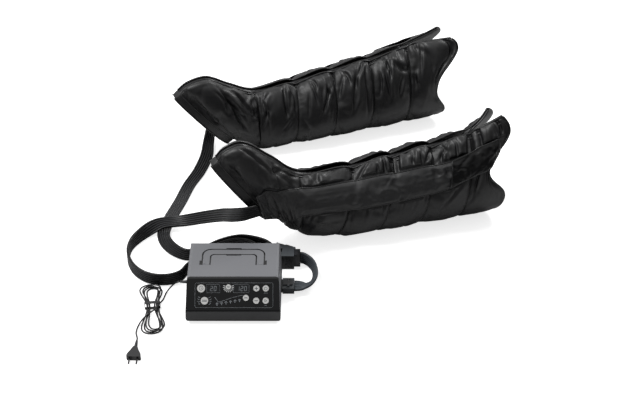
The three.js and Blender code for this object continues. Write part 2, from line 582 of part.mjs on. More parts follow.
// Flat hoses, their plugs and the splitter that joins both boots to the unit's one socket
function buildHoses() {
  const section = flatSection(hoseWidth, hoseThickness);
  const [splitX, splitY] = splitterAt;
  const hoseLift = plugLift + plugWidth / 2;
  // Each row is a point of the hose's middle and its roll: 0 lies flat and 90 stands on edge
  const hose = (name, rows, steps, material) => {
    const line = new THREE.CatmullRomCurve3(vectors(rows.map((row) => row.slice(0, 3))));
    const roll = new THREE.CatmullRomCurve3(rows.map((row) => new THREE.Vector3(row[3], 0, 0)));
    const points = [];
    const rolls = [];
    for (let i = 0; i <= steps; i += 1) {
      const t = line.getUtoTmapping(i / steps);
      points.push(line.getPoint(t));
      rolls.push(THREE.MathUtils.degToRad(roll.getPoint(t).x));
    }
    const [first, second] = vectors(rows.slice(0, 2).map((row) => row.slice(0, 3)));
    const [before, last] = vectors(rows.slice(-2).map((row) => row.slice(0, 3)));
    const ends = [second.sub(first), last.sub(before)];
    add(name, sweep(points, section, rolls, ends), material);
  };
  hose("near_hose", [
    [59, 159.8, 159.8, 88], [51, 158, 158, 87], [22, 158, 149, 80], [-8, 181, 127, 64],
    [-42, 222, 94, 52], [-93, 264, 53, 40], [-144, 284, 27, 24], [-178, 284, 21, 10],
    [-216, 275, 22, 20], [-255, 241, 20, 62], [-285, 190, hoseEdge, 86], [-288, 141, hoseEdge, 90],
    [-269, 92, hoseEdge, 90], [-236, 60, hoseEdge, 90], [-202, 48, hoseEdge, 90], [-168, 50, hoseEdge, 90],
    [-143, 64, hoseEdge, 90], [-129, 89, hoseEdge, 90], [-108, 116, hoseEdge, 90],
    [-80, 146, hoseEdge, 90], [-48, 176, 20.5, 90], [-6, 192, 21, 90],
    [30, 184, 22, 90], [54, 162, 23, 90], [66, 138, 23.5, 90], [76, 123.5, hoseLift, 90],
    [83, splitY, hoseLift, 90],
    [splitX - plugLength - gap, splitY, hoseLift, 90],
  ], 46, materials.hose);
  const angle = THREE.MathUtils.degToRad(rearSocketAngle);
  const rearEnd = [rearAt[0] - (plugLength + gap) * Math.cos(angle),
    rearAt[1] - (plugLength + gap) * Math.sin(angle)];
  hose("far_hose", [
    [-51.5, 726.4, 105.2, 84], [-59, 724.8, 101, 82], [-83, 719, 78, 72], [-101, 705, 44, 60],
    [-108, 665, 20, 42], [-111, 604, 11, 16], [-128, 534, 5.8, 6], [-152, 470, 4.6, 0],
    [-172, 392, 4.4, 0], [-194, 318, 4.4, 0], [-205, 268, 5.4, -5], [-197, 212, 15, -40],
    [-170, 170, 19, -66], [-134, 147, hoseEdge, -86], [-96, 156, hoseEdge, -90],
    [-54, 186, hoseEdge, -90], [2, 207, 21, -90], [46, 198, 22.5, -90], [76, 181, 24, -90],
    [rearEnd[0] - 9 * Math.cos(angle), rearEnd[1] - 9 * Math.sin(angle), hoseLift, -90],
    [...rearEnd, hoseLift, -90],
  ], 36, materials.hose);
  const linkEnd = unitWidth / 2 + 1.5 + gap + unitPlugLength + gap;
  hose("link_hose", [
    [splitX + splitterLength + splitterCollar + gap, splitY + 9, hoseLift, 90],
    [splitX + splitterLength + splitterCollar + 6, splitY + 9, hoseLift, 90], [187, 119, 23, 91],
    [200, 99, 22.5, 95], [205, 72, 21.5, 104], [200, 45, 20.5, 124], [186, 29, 19.5, 150],
    [171, 25.2, 18.3, 172], [linkEnd + 6, socketMiddle[0], socketMiddle[1], 180],
    [linkEnd, socketMiddle[0], socketMiddle[1], 180],
  ], 14, materials.greyHose);

  // A plug seen from the end that takes the hose: it points along +X and is centred on the axis
  const plugBody = (length, ribs) => {
    const body = alongX(rectangle(-plugWidth / 2, -plugThickness / 2, plugWidth / 2, plugThickness / 2, 3),
      0, length, 2);
    let grip = body;
    for (let i = 0; i < ribs; i += 1) {
      const x = 5 + i * 4;
      const ring = box(x, x + 1.8, -plugWidth, plugWidth, -plugThickness, plugThickness);
      grip = grip.subtract(ring.subtract(alongX(rectangle(-plugWidth / 2 + 1, -plugThickness / 2 + 1,
        plugWidth / 2 - 1, plugThickness / 2 - 1, 2), 0, length, 2)));
    }
    return grip;
  };
  const placed = (solid, x, y, z, turn, roll) => toSolid(toGeometry(solid)
    .rotateX(THREE.MathUtils.degToRad(roll)).rotateZ(turn).translate(x, y, z));
  const middleZ = plugLift + plugWidth / 2;
  add("near_hose_plug", placed(plugBody(plugLength - gap, 3), splitX - plugLength, splitY, middleZ, 0, 90),
    materials.darkPlastic);
  add("far_hose_plug", placed(plugBody(plugLength - gap, 3), rearAt[0] - plugLength * Math.cos(angle),
    rearAt[1] - plugLength * Math.sin(angle), middleZ, angle, 90), materials.darkPlastic);

  const [z0, z1] = [plugLift, plugLift + plugWidth];
  const thick = plugThickness / 2 + 1;
  let splitter = box(splitX, splitX + splitterLength, splitY - thick, splitY + 24, z0 - 1, z1 + 1);
  const rearSocket = placed(alongX(rectangle(-plugWidth / 2 - 1, -thick, plugWidth / 2 + 1, thick, 2),
    0, 28, 2), ...rearAt, middleZ, angle, 90);
  splitter = joined(splitter, rearSocket, box(splitX + splitterLength - 1,
    splitX + splitterLength + splitterCollar, splitY - 3, splitY + 21, z0 + 1, z1 - 1));
  for (let z = z0 + 7; z < z1 - 4; z += 6) {
    splitter = splitter.subtract(box(splitX + 8, splitX + splitterLength - 4,
      splitY - thick - 1, splitY - thick + 1, z, z + 2));
  }
  const plugBox = box(-plugLength - 20, 0, -40, 60, -20, 20);
  const plugRoom = placed(plugBox, rearAt[0], rearAt[1], middleZ, angle, 90);
  const frontRoom = box(splitX - 30, splitX, splitY - 20, splitY + thick, 0, z1 + 4);
  add("hose_splitter", cut(splitter, plugRoom, frontRoom), materials.darkPlastic);

  const unitPlugX = unitWidth / 2 + 1.5 + gap;
  const [socketY, socketZ] = socketMiddle;
  const hingeX = unitPlugX + 15;
  const hingeZ = socketZ + plugThickness / 2 + 2.2;
  const ears = [-1, 1].map((s) => box(hingeX - 3, hingeX + 3, socketY + s * 13 - 1.5,
    socketY + s * 13 + 1.5, socketZ + plugThickness / 2 - 1, hingeZ + 2));
  const plug = joined(
    placed(plugBody(unitPlugLength, 0), unitPlugX, socketY, socketZ, 0, 0), ...ears,
  );
  add("unit_hose_plug", plug, materials.greyHose);
  const bar = socketZ + plugThickness / 2;
  const latch = joined(
    toSolid(cylinder(3, 23 - 2 * slideGap, 12).rotateX(Math.PI / 2).translate(hingeX, socketY, hingeZ)),
    box(unitPlugX + 2, hingeX + 11, socketY - 9, socketY + 9, bar + 1.2, bar + 3.2),
    box(unitPlugX + 2, unitPlugX + 4, socketY - 9, socketY + 9, bar + slideGap, bar + 3.2),
  );
  add("unit_plug_latch", latch, materials.rubber);
}

// Mains lead: free stretch, tied hank of four loops, tail and two-pin plug
function buildMains() {
  const round = new THREE.Shape();
  roundSection(cordDiameter, 8).forEach(([x, y], i) => (i ? round.lineTo(x, y) : round.moveTo(x, y)));
  const run = (name, points, steps) => {
    const extrudePath = new THREE.CatmullRomCurve3(vectors(points));
    add(name, new THREE.ExtrudeGeometry(round, { steps, extrudePath }), materials.rubber);
  };

  // The hank: two layers of turns, spiralling in below and out again above, with one climb between
  const floorLift = cordDiameter / 2 + 0.1;
  const turns = 2 * hankTurns;
  const start = Math.PI / 2;
  const end = start + 2 * Math.PI * turns;
  const middle = (start + end) / 2;
  const ease = (x) => THREE.MathUtils.smoothstep(x, 0, 1);
  const turnAll = THREE.MathUtils.degToRad(hankTurn);
  const fan = THREE.MathUtils.degToRad(hankFan);
  const hankPoint = (t) => {
    const out = Math.abs(t - middle) / (2 * Math.PI);
    const climb = ease((t - middle) / Math.PI + 0.5);
    const leave = ease((t - end) / (0.5 * Math.PI) + 1);
    const waist = hankWaist + hankPitch * out;
    const bulge = THREE.MathUtils.lerp(hankBulge[0], hankBulge[1], out / hankTurns);
    const x = Math.sin(t) * (waist + 4 * bulge * Math.cos(t) ** 2);
    const reach = (Math.cos(t) > 0 ? hankReach[0] : hankReach[1]) - hankPitch * (hankTurns - out);
    const y = reach * Math.cos(t);
    const tilt = turnAll + fan * (2 * climb - 1);
    const lift = (tieWall + 0.5) * Math.exp(-((y / 16) ** 2));
    return new THREE.Vector3(
      hankMiddle[0] + x * Math.cos(tilt) - y * Math.sin(tilt),
      hankMiddle[1] + x * Math.sin(tilt) + y * Math.cos(tilt),
      floorLift + lift + hankLayer * (climb + leave),
    );
  };
  const steps = 24 * turns;
  const centre = Array.from({ length: steps + 1 }, (_, i) => hankPoint(start + (end - start) * i / steps));
  add("power_cord_hank", sweep(centre, roundSection(cordDiameter, 6)), materials.rubber);
  const fine = Array.from({ length: 8 * steps + 1 },
    (_, i) => hankPoint(start + (end - start) * i / (8 * steps)));
  let least = Infinity;
  fine.forEach((a, i) => {
    for (let j = i + 40; j < fine.length; j += 1) least = Math.min(least, a.distanceTo(fine[j]));
  });
  console.log(`least gap between turns of the hank: ${(least - cordDiameter).toFixed(2)} mm`);

  const [first, second] = [centre[0], centre[1]];
  const [last, before] = [centre[steps], centre[steps - 1]];
  const into = second.clone().sub(first).normalize();
  const onward = last.clone().sub(before).normalize();
  const startOf = first.clone().addScaledVector(into, -gap);
  const tailStart = last.clone().addScaledVector(onward, gap);
  const [glandY, glandZ] = glandAt;
  run("power_cord_lead", [
    [-unitWidth / 2 - glandLength - gap, glandY, glandZ], [-148, glandY, glandZ], [-161, 36, 13],
    [-177, 17, 4], [-184, -10, 2.2],
    startOf.clone().addScaledVector(into, -8).toArray(), startOf.toArray(),
  ], 18);
  const [plugX, plugY] = mainsPlugAt;
  const aim = THREE.MathUtils.degToRad(mainsPlugTurn);
  const reliefLength = 26;
  const back = mainsPlug.length + reliefLength;
  const tailEnd = [plugX - Math.sin(aim) * (back + gap), plugY + Math.cos(aim) * (back + gap),
    mainsPlug.thickness / 2];
  run("power_cord_tail", [
    tailStart.toArray(), tailStart.clone().addScaledVector(onward, 6).toArray(), [-201, -64, 16.4],
    [-215, -78, 15], [-229, -92, 8], [-238, -110, 2.3], [-240, -135, 4],
    [tailEnd[0], tailEnd[1] + 8, tailEnd[2]], tailEnd,
  ], 18);

  // The band that ties the hank at its waist
  const reach = hankWaist + hankPitch * hankTurns + cordDiameter / 2 + 0.8;
  const tieTop = floorLift + tieWall + 0.5 + 2 * hankLayer + cordDiameter / 2 + 0.6;
  const loop = alongY(rectangle(-reach - tieWall, 0.2, reach + tieWall, tieTop + tieWall, 3),
    -tieWidth / 2, tieWidth / 2, 3)
    .subtract(alongY(rectangle(-reach, 0.2 + tieWall, reach, tieTop, 2), -tieWidth, tieWidth, 3));
  add("hank_tie", toGeometry(loop).rotateZ(turnAll).translate(...hankMiddle, 0), materials.band);

  // Flat two-pin plug, face towards the user, with its tapered strain relief
  const { width, length, thickness, pinPitch, pin, pinLength } = mainsPlug;
  const outline = [
    [-width / 2, 0, 3], [width / 2, 0, 3], [width / 2, 9, 6], [width / 2 - 8, 24, 8], [5.5, length],
    [-5.5, length], [8 - width / 2, 24, 8], [-width / 2, 9, 6],
  ];
  const reliefProfile = [[0, length - 2], [5, length - 2], [4.6, length + 4],
    [cordDiameter / 2 + 0.8, back], [0, back]];
  const relief = new THREE.LatheGeometry(reliefProfile.map(([r, h]) => new THREE.Vector2(r, h)), 12);
  const pins = [-1, 1].map((s) => toSolid(cylinder(pin, pinLength + 1, 12).rotateX(Math.PI / 2)
    .translate(s * pinPitch / 2, 0.5 - pinLength / 2, 0)));
  const plug = joined(alongZ(roundPoly(outline), -thickness / 2, thickness / 2, 3), toSolid(relief), ...pins);
  add("mains_plug", toGeometry(plug).rotateZ(aim).translate(plugX, plugY, thickness / 2), materials.rubber);
}

// One boot lying on its calf with the zip ridge up. Local X runs from the heel to the thigh,
// local Y away from the user, and outer is the side that carries the hose sleeve.
function buildBoot({ name, heel, turn, outer, stations, mouth }) {
  const boot = new THREE.Group();
  boot.rotation.z = THREE.MathUtils.degToRad(turn);
  boot.position.set(heel[0], heel[1], 0);
  set.add(boot);

  const lastStation = stations.length - 1;
  const straightFrom = footStations + 1;
  const straightTo = lastStation - 1;
  const calfLine = new THREE.CatmullRomCurve3(
    stations.map(({ calf, half }) => new THREE.Vector3(calf[0], half, calf[1])));
  const ridgeLine = new THREE.CatmullRomCurve3(
    stations.map(({ ridge }) => new THREE.Vector3(ridge[0], 0, ridge[1])));
  const blend = (values, s) => {
    const i = Math.min(Math.floor(s), lastStation - 1);
    return THREE.MathUtils.lerp(values[i], values[i + 1], s - i);
  };
  const gaps = stations.map((station) => station.zipGap ?? zipHalfGap);
  const leans = stations.map((station) => station.lean);
  // The ridge is straight where the zip slider runs
  const ridgeAt = (s) => {
    if (s < straightFrom || s > straightTo) return ridgeLine.getPoint(s / lastStation);
    const [a, b] = [stations[straightFrom].ridge, stations[straightTo].ridge];
    const share = (s - straightFrom) / (straightTo - straightFrom);
    return new THREE.Vector3(THREE.MathUtils.lerp(a[0], b[0], share), 0,
      THREE.MathUtils.lerp(a[1], b[1], share));
  };
  // A point of the boot's middle surface: p runs from the near zip edge (-1) under the calf (0)
  // to the far zip edge (1), and rise lifts it square to the surface
  const surface = (s, p, rise = 0) => {
    const calf = calfLine.getPoint(s / lastStation);
    const ridge = ridgeAt(s);
    const half = calf.y;
    const halfGap = blend(gaps, s);
    const lean = blend(leans, s);
    const hollow = Math.max(0, s - straightTo) ** 2 * thighNotch;
    const span = Math.hypot(ridge.x - calf.x, ridge.z - calf.z);
    const flat = (q) => {
      const share = (1 - Math.cos(Math.PI * Math.abs(q))) / 2;
      const swell = half * Math.sin(Math.PI * Math.abs(q)) * (1 + 0.25 * Math.cos(Math.PI * q));
      const across = Math.sign(q) * (swell + halfGap * Math.abs(q) ** 3) + lean * share ** 2;
      return [across, share * span];
    };
    const [y, w] = flat(p);
    const [ya, wa] = flat(p - 1e-4);
    const [yb, wb] = flat(p + 1e-4);
    const size = Math.hypot(yb - ya, wb - wa);
    const [ny, nw] = [(wb - wa) / size, (ya - yb) / size];
    const share = (w + nw * rise) / span;
    const back = hollow * Math.sin(Math.PI * Math.min(1, Math.max(0, w / span))) ** 2;
    const short = p > 0 ? farFlapShort * Math.max(0, s - straightTo) * Math.max(0, share) ** 3 : 0;
    return new THREE.Vector3(
      calf.x + (ridge.x - calf.x) * share - back - short,
      y + ny * rise,
      calf.z + (ridge.z - calf.z) * share,
    );
  };

  // Chambers: the foot chamber and five leg chambers, each crowned between its welded seams
  const seams = [0, footStations, ...stations.keys()].filter((s, i, all) => i < 2 || s > footStations);
  const around = Array.from({ length: 17 }, (_, j) => j / 8 - 1);
  const floor = box(-400, 900, -400, 400, -60, 0);
  const chambers = [];
  for (let c = 0; c + 1 < seams.length; c += 1) {
    const foot = c === 0;
    const [from, to] = [seams[c], seams[c + 1]];
    const trim = foot ? 0.006 : 0.0014;
    const rows = foot ? [0, 0.12, 0.35, 0.6, 0.86, 1] : [0, 0.15, 0.5, 0.85, 1];
    const sheet = (sign) => rows.map((row) => around.map((p) => {
      const s = THREE.MathUtils.lerp(from + trim, to - trim, row);
      const fade = Math.sin(Math.min(1, (1 - Math.abs(p)) / 0.25) * Math.PI / 2);
      const crown = Math.sin(Math.PI * row) ** 0.55 * fade;
      return surface(s, p, sign > 0 ? crown * crownOut : -seamWall - crown * crownIn);
    }));
    const chamber = toSolid(slab(sheet(1), sheet(-1))).subtract(floor);
    const label = foot ? "foot_chamber" : `leg_chamber_${c}`;
    add(`${name}_${label}`, chamber, materials.nylon, boot);
    chambers.push(chamber);
  }

  // Sole: a soft panel across the foot's open end
  const toeWard = surface(0, 0.5).sub(surface(0.5, 0.5)).setY(0).normalize();
  const square = new THREE.Vector3(stations[0].ridge[0] - stations[0].calf[0], 0,
    stations[0].ridge[1] - stations[0].calf[1]).normalize().cross(new THREE.Vector3(0, 1, 0));
  if (square.dot(toeWard) < 0) square.negate();
  const heart = surface(0, 0, -140);
  heart.y = 4;
  const soleRing = (shift, size) => around.map((p) => surface(0, p, 0).sub(heart)
    .multiplyScalar(size).add(heart).addScaledVector(square, shift));
  add(`${name}_sole`, loft([soleRing(gap, 1), soleRing(soleThickness - 4, 1.0),
    soleRing(soleThickness, 0.94)]), materials.nylon, boot);

  // Zip: closed from the toe to the slider, open above it along both flaps
  const tapeHalf = zipHalfGap - 1;
  const [chainWidth, chainHeight] = zipChain;
  const tapeSection = (half) => [
    [-half, -2.2], [half, -2.2], [half, -2.2 + zipTape], [chainWidth / 2, -2.2 + zipTape],
    [chainWidth / 2, chainHeight - 3], [-chainWidth / 2, chainHeight - 3],
    [-chainWidth / 2, -2.2 + zipTape], [-half, -2.2 + zipTape],
  ];
  const ridgePoint = (s, across = 0) => ridgeAt(s).setY(blend(leans, s) + across);
  const closedStops = [...Array(11).keys()].map((i) => 0.02 + i * footStations / 10);
  closedStops.push(footStations + 0.5, straightFrom, straightTo);
  let zip = toSolid(zipRun(closedStops.map((s) => ridgePoint(s)), tapeSection(tapeHalf)));
  [-1, 1].forEach((side) => {
    const stops = [0, 0.15, 0.3, 0.45, 0.6, 0.75, 0.9, 1].map((x) => straightTo - 0.02 + x * 1.02);
    const flap = stops.map((s) => ridgePoint(s, side * (blend(gaps, s) - slideGap - 4.4)));
    const strip = [[-4.2, -2.2], [4.2, -2.2], [4.2, -1], [-4.2, -1]];
    zip = zip.add(toSolid(zipRun(flap, strip)));
  });
  add(`${name}_zip`, zip, materials.zip, boot);

  // Slider and its pull, in the ridge's own direction
  const [sliderLength, sliderWidth, sliderThickness] = sliderSize;
  const top = ridgePoint(straightTo - (sliderLength / 2 + 3) / 115);
  const tilt = -Math.atan2(stations[straightTo].ridge[1] - stations[straightFrom].ridge[1],
    stations[straightTo].ridge[0] - stations[straightFrom].ridge[0]);
  const chainTop = chainHeight - 3;
  const plateLow = chainTop + slideGap;
  const plateHigh = plateLow + sliderThickness;
  const flange = (s) => {
    const [a, b] = [s * (chainWidth / 2 + slideGap), s * sliderWidth / 2];
    return box(-sliderLength / 2, sliderLength / 2, Math.min(a, b), Math.max(a, b),
      -2.2 + zipTape + slideGap, plateHigh);
  };
  const pivotZ = plateHigh + 2;
  const [pullLength, pullWidth, pullThickness] = pullSize;
  const ear = (s) => box(-2.5, 2.5, s * (pullWidth / 2 + slideGap + 0.7) - 0.7,
    s * (pullWidth / 2 + slideGap + 0.7) + 0.7, plateHigh - 0.5, pivotZ + 1.6);
  const slider = joined(box(-sliderLength / 2, sliderLength / 2, -sliderWidth / 2, sliderWidth / 2,
    plateLow, plateHigh), flange(-1), flange(1), ear(-1), ear(1));
  const pull = cut(
    joined(
      toSolid(cylinder(3, pullWidth, 12).rotateX(Math.PI / 2).translate(0, 0, pivotZ)),
      box(0, pullLength, -pullWidth / 2, pullWidth / 2, pivotZ - pullThickness / 2,
        pivotZ + pullThickness / 2),
    ),
    upright(3, pullLength - 4, 0, pivotZ - 3, pivotZ + 3, 8),
  );
  [["zip_slider", slider], ["zip_pull", pull]].forEach(([label, solid]) => {
    const placed = toGeometry(solid).rotateY(tilt).translate(top.x, top.y, top.z);
    add(`${name}_${label}`, placed, materials.metal, boot);
  });

  // Hose sleeve on the outer side, from the hose's mouth by the heel to the flap at the thigh
  const [mouthStation, mouthReach] = mouth;
  const lastStop = sleevePlan[sleevePlan.length - 1][0];
  const sleeveStops = [mouthStation];
  for (let s = Math.floor(mouthStation) + 1; s < lastStop - 0.3; s += 0.5) sleeveStops.push(s);
  sleeveStops.push(lastStop);
  const edgesAt = (s) => {
    const i = Math.max(1, sleevePlan.findIndex(([stop]) => stop >= s - 1e-9));
    const [a, b] = [sleevePlan[i - 1], sleevePlan[i]];
    const share = (s - a[0]) / (b[0] - a[0]);
    return [THREE.MathUtils.lerp(a[1], b[1], share), THREE.MathUtils.lerp(a[2], b[2], share)];
  };
  const sleeveSheet = (rise) => {
    const line = (s) => [0, 1, 2, 3].map((k) => {
      const [low, high] = edgesAt(s);
      const p = Math.acos(1 - 2 * THREE.MathUtils.lerp(low, high, k / 3)) / Math.PI;
      return surface(s, outer * p, rise(k));
    });
    const heelEnd = line(mouthStation).map((point, k) => point.setX(point.x - mouthReach * (4 - k) / 4));
    return [heelEnd].concat(sleeveStops.map(line));
  };
  const swell = (k) => Math.sin(Math.PI * (k + 0.6) / 4.2) * sleeveSwell;
  const sleeve = toSolid(slab(sleeveSheet((k) => sleeveLift + sleeveWall + swell(k)),
    sleeveSheet(() => sleeveLift)));
  add(`${name}_hose_sleeve`, cut(sleeve, ...chambers), materials.band, boot);
}

// A strip along a boot's ridge: its width lies across the boot and its height square to the run
function zipRun(points, section) {
  const rings = points.map((point, i) => {
    const before = points[Math.max(i - 1, 0)];
    const after = points[Math.min(i + 1, points.length - 1)];
    const along = after.clone().sub(before).setY(0).normalize();
    const up = new THREE.Vector3(-along.z, 0, along.x);
    return section.map(([w, h]) => point.clone().add(new THREE.Vector3(0, w, 0)).addScaledVector(up, h));
  });
  return loft(rings);
}

// The origin goes under the middle of the set, on the floor. Hoses and lead lie where they were put,
// so they don't count.
const loose = /hose$|_cord_|hank|mains_plug|hose_plug|splitter|latch/;
set.updateMatrixWorld(true);
const extent = new THREE.Box3();
set.traverse((piece) => {
  if (piece.isMesh && !loose.test(piece.name)) extent.expandByObject(piece, true);
});
const middle = extent.getCenter(new THREE.Vector3());
set.position.set(-middle.x, -middle.y, 0);
console.log(`layout moved by ${(-middle.x).toFixed(3)}, ${(-middle.y).toFixed(3)} mm`);

export default set;
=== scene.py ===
"""A pair of six-chamber compression boots with their control unit, flat air hoses and mains lead.

The sections are the view and its light, the hoses and the mains lead, the boots from their chambers
to their zips, sleeves and patches, and then the control unit with its print and small fittings.
Rows, plans and names that end in mm are in millimetres of the part's drawing; placed() and
Boot.world() turn them into metres in its frame.
"""
import math

import bmesh
import bpy
import numpy as np
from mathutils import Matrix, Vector


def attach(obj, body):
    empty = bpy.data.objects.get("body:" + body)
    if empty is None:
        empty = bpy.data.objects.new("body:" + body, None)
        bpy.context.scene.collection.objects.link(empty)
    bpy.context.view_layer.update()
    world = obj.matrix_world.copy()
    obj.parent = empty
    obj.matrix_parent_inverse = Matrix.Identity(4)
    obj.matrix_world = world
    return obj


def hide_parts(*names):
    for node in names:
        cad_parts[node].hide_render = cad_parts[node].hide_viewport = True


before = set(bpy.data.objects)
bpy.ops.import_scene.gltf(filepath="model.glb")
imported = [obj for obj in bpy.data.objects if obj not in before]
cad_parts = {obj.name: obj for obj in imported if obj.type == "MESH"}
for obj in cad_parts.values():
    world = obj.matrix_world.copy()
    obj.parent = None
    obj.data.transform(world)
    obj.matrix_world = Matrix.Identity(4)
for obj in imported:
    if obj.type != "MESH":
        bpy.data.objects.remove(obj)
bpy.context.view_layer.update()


# Camera: the photographer stands in front of the control unit and looks down at the set.
# A 79 mm lens on a 36 mm wide frame, pitched 38 degrees down, gives the photograph's crop.
LAYOUT = (-266.811, -420.402)          # from the part's drawing, around the unit, to its own frame
PITCH_DEGREES = 38


def placed(x_mm, y_mm, z_mm):
    """A point of the drawing, in millimetres, as metres in the part's frame."""
    return Vector(((x_mm + LAYOUT[0]) / 1000, (y_mm + LAYOUT[1]) / 1000, z_mm / 1000))


def added(data):
    """A new object of the scene, named as its data and standing at the origin."""
    made = bpy.data.objects.new(data.name, data)
    bpy.context.scene.collection.objects.link(made)
    return made


lens = bpy.data.cameras.new("camera")
lens.sensor_width = 36
lens.lens = 78.75
lens.clip_end = 100
camera = added(lens)
camera.location = placed(217.86, -2678.9, 2411)
camera.rotation_euler = (math.radians(90 - PITCH_DEGREES), 0, 0)
bpy.context.scene.camera = camera
bpy.context.scene.view_settings.view_transform = "Standard"


# Floor, backdrop and light: a plain white sweep under two soft lamp boxes in a white room.
# The room lights the set from the rear and is dark behind the camera, so black cloth keeps depth.
def linear(hex_colour):
    """An sRGB colour as hex text, turned into linear red, green, blue and alpha."""
    parts = [int(hex_colour[i:i + 2], 16) / 255 for i in (1, 3, 5)]
    return [c / 12.92 if c <= 0.04045 else ((c + 0.055) / 1.055) ** 2.4 for c in parts] + [1.0]


def add_node(tree, kind, inputs=None, **settings):
    """Adds a node with its settings; an input is a number, a hex colour, a socket or a whole node."""
    made = tree.nodes.new(kind)
    for key, value in settings.items():
        setattr(made, key, value)
    for key, value in (inputs or {}).items():
        if isinstance(value, bpy.types.Node):
            value = next(socket for socket in value.outputs if socket.enabled)
        if isinstance(value, bpy.types.NodeSocket):
            tree.links.new(value, made.inputs[key])
        else:
            made.inputs[key].default_value = linear(value) if isinstance(value, str) else value
    return made


def emptied(owner):
    """The node tree of a material or of the world, with its nodes cleared."""
    owner.use_nodes = True
    owner.node_tree.nodes.clear()
    return owner.node_tree


def finish_named(name):
    """A new material without nodes, and its node tree."""
    finish = bpy.data.materials.new(name)
    return finish, emptied(finish)


room = bpy.data.worlds.new("white_room")
bpy.context.scene.world = room
sky = emptied(room)
ray = add_node(sky, "ShaderNodeLightPath").outputs
seen = add_node(sky, "ShaderNodeMath", {
    0: ray["Is Camera Ray"], 1: ray["Is Transmission Ray"]}, operation="MAXIMUM")
toward = add_node(sky, "ShaderNodeTexCoord").outputs["Generated"]
above = add_node(sky, "ShaderNodeVectorMath", {0: toward, 1: (-0.2, 0.45, 0.85)}, operation="DOT_PRODUCT")
diffuse, glossy = [add_node(sky, "ShaderNodeMapRange", {
    "Value": above, "From Min": -0.1, "From Max": 0.75, "To Min": low, "To Max": high},
    interpolation_type="SMOOTHSTEP") for low, high in ((0.08, 0.42), (0.14, 1.0))]
bounced = add_node(sky, "ShaderNodeMix", {"Factor": ray["Is Glossy Ray"], "A": diffuse, "B": glossy})
level = add_node(sky, "ShaderNodeMix", {"Factor": seen, "A": bounced, "B": 1.0})
glow = add_node(sky, "ShaderNodeBackground", {"Color": "#ffffff", "Strength": level})
add_node(sky, "ShaderNodeOutputWorld", {"Surface": glow})


def lamp(name, place, aim, size, watts):
    """A soft square lamp at a place, turned towards a point, both in metres."""
    light = bpy.data.lights.new(name, "AREA")
    light.size = size
    light.energy = watts
    holder = added(light)
    holder.location = place
    holder.rotation_euler = (Vector(aim) - Vector(place)).to_track_quat("-Z", "Y").to_euler()


lamp("key_box", (-1.7, 0.1, 3.0), (0, 0, 0.1), 1.1, 71)
lamp("rear_box", (1.6, 2.2, 2.4), (0, 0.2, 0.1), 1.0, 44)


def new_mesh(name, points, faces, smooth=True):
    """A mesh from its points, in metres, and the corners of its faces."""
    mesh = bpy.data.meshes.new(name)
    mesh.from_pydata(np.reshape(points, (-1, 3)).tolist(), [], faces)
    mesh.polygons.foreach_set("use_smooth", [smooth] * len(mesh.polygons))
    return mesh


paper, tree = finish_named("white_paper_sweep")
ray = add_node(tree, "ShaderNodeLightPath").outputs
seen = add_node(tree, "ShaderNodeMath", {
    0: ray["Is Camera Ray"], 1: ray["Is Transmission Ray"]}, operation="MAXIMUM")
tone = add_node(tree, "ShaderNodeMix", {
    "Factor": ray["Is Diffuse Ray"], "A": "#f4f4f4", "B": "#9a9a9a"}, data_type="RGBA")
matt = add_node(tree, "ShaderNodeBsdfDiffuse", {"Color": tone})
lit = add_node(tree, "ShaderNodeEmission", {"Color": "#ffffff", "Strength": 0.75})
unlit = add_node(tree, "ShaderNodeEmission", {"Strength": 0.0})
shown = add_node(tree, "ShaderNodeMixShader", {0: seen, 1: unlit, 2: lit})
both = add_node(tree, "ShaderNodeAddShader", {0: matt, 1: shown})
add_node(tree, "ShaderNodeOutputMaterial", {"Surface": both})
corners = [(-20, -20, 0), (20, -20, 0), (20, 20, 0), (-20, 20, 0)]
floor = added(new_mesh("floor", corners, [(0, 1, 2, 3)], smooth=False))
floor.location.z = -0.0004
floor.data.materials.append(paper)


# Flat air hoses: six soft PVC tubes extruded side by side as one ribbon, pushed on plug stems at one
# end and run into the boots' sleeves at the other. A row is x, y and z in millimetres and the roll in
# degrees.
HOSE_WIDTH_MM, HOSE_THICKNESS_MM, HOSE_WAYS = 37, 7, 6
near_hose_rows = [
    (59, 159.8, 159.8, 88), (51, 158, 158, 87), (22, 158, 149, 80), (-8, 181, 127, 64),
    (-42, 222, 94, 52), (-93, 264, 53, 40), (-144, 284, 27, 24), (-178, 284, 21, 10),
    (-216, 275, 22, 20), (-255, 241, 20, 62), (-285, 190, 20, 86), (-288, 141, 20, 90),
    (-269, 92, 20, 90), (-236, 60, 20, 90), (-202, 48, 20, 90), (-168, 50, 20, 90),
    (-143, 64, 20, 90), (-129, 89, 20, 90), (-108, 116, 20, 90), (-80, 146, 20, 90),
    (-48, 176, 20.5, 90), (-6, 192, 21, 90), (30, 184, 22, 90), (54, 162, 23, 90),
    (66, 138, 23.5, 90), (76, 123.5, 23.5, 90), (83, 121, 23.5, 90), (91.7, 121, 23.5, 90),
]
far_hose_rows = [
    (-51.5, 726.4, 105.2, 84), (-59, 724.8, 101, 82), (-83, 719, 78, 72), (-101, 705, 44, 60),
    (-108, 665, 20, 42), (-111, 604, 11, 16), (-128, 534, 5.8, 6), (-152, 470, 4.6, 0),
    (-172, 392, 4.4, 0), (-194, 318, 4.4, 0), (-205, 268, 5.4, -5), (-197, 212, 15, -40),
    (-170, 170, 19, -66), (-134, 147, 20, -86), (-96, 156, 20, -90), (-54, 186, 20, -90),
    (2, 207, 21, -90), (46, 198, 22.5, -90), (76, 181, 24, -90), (92, 164.9, 23.5, -90),
    (100.16, 161.12, 23.5, -90),
]
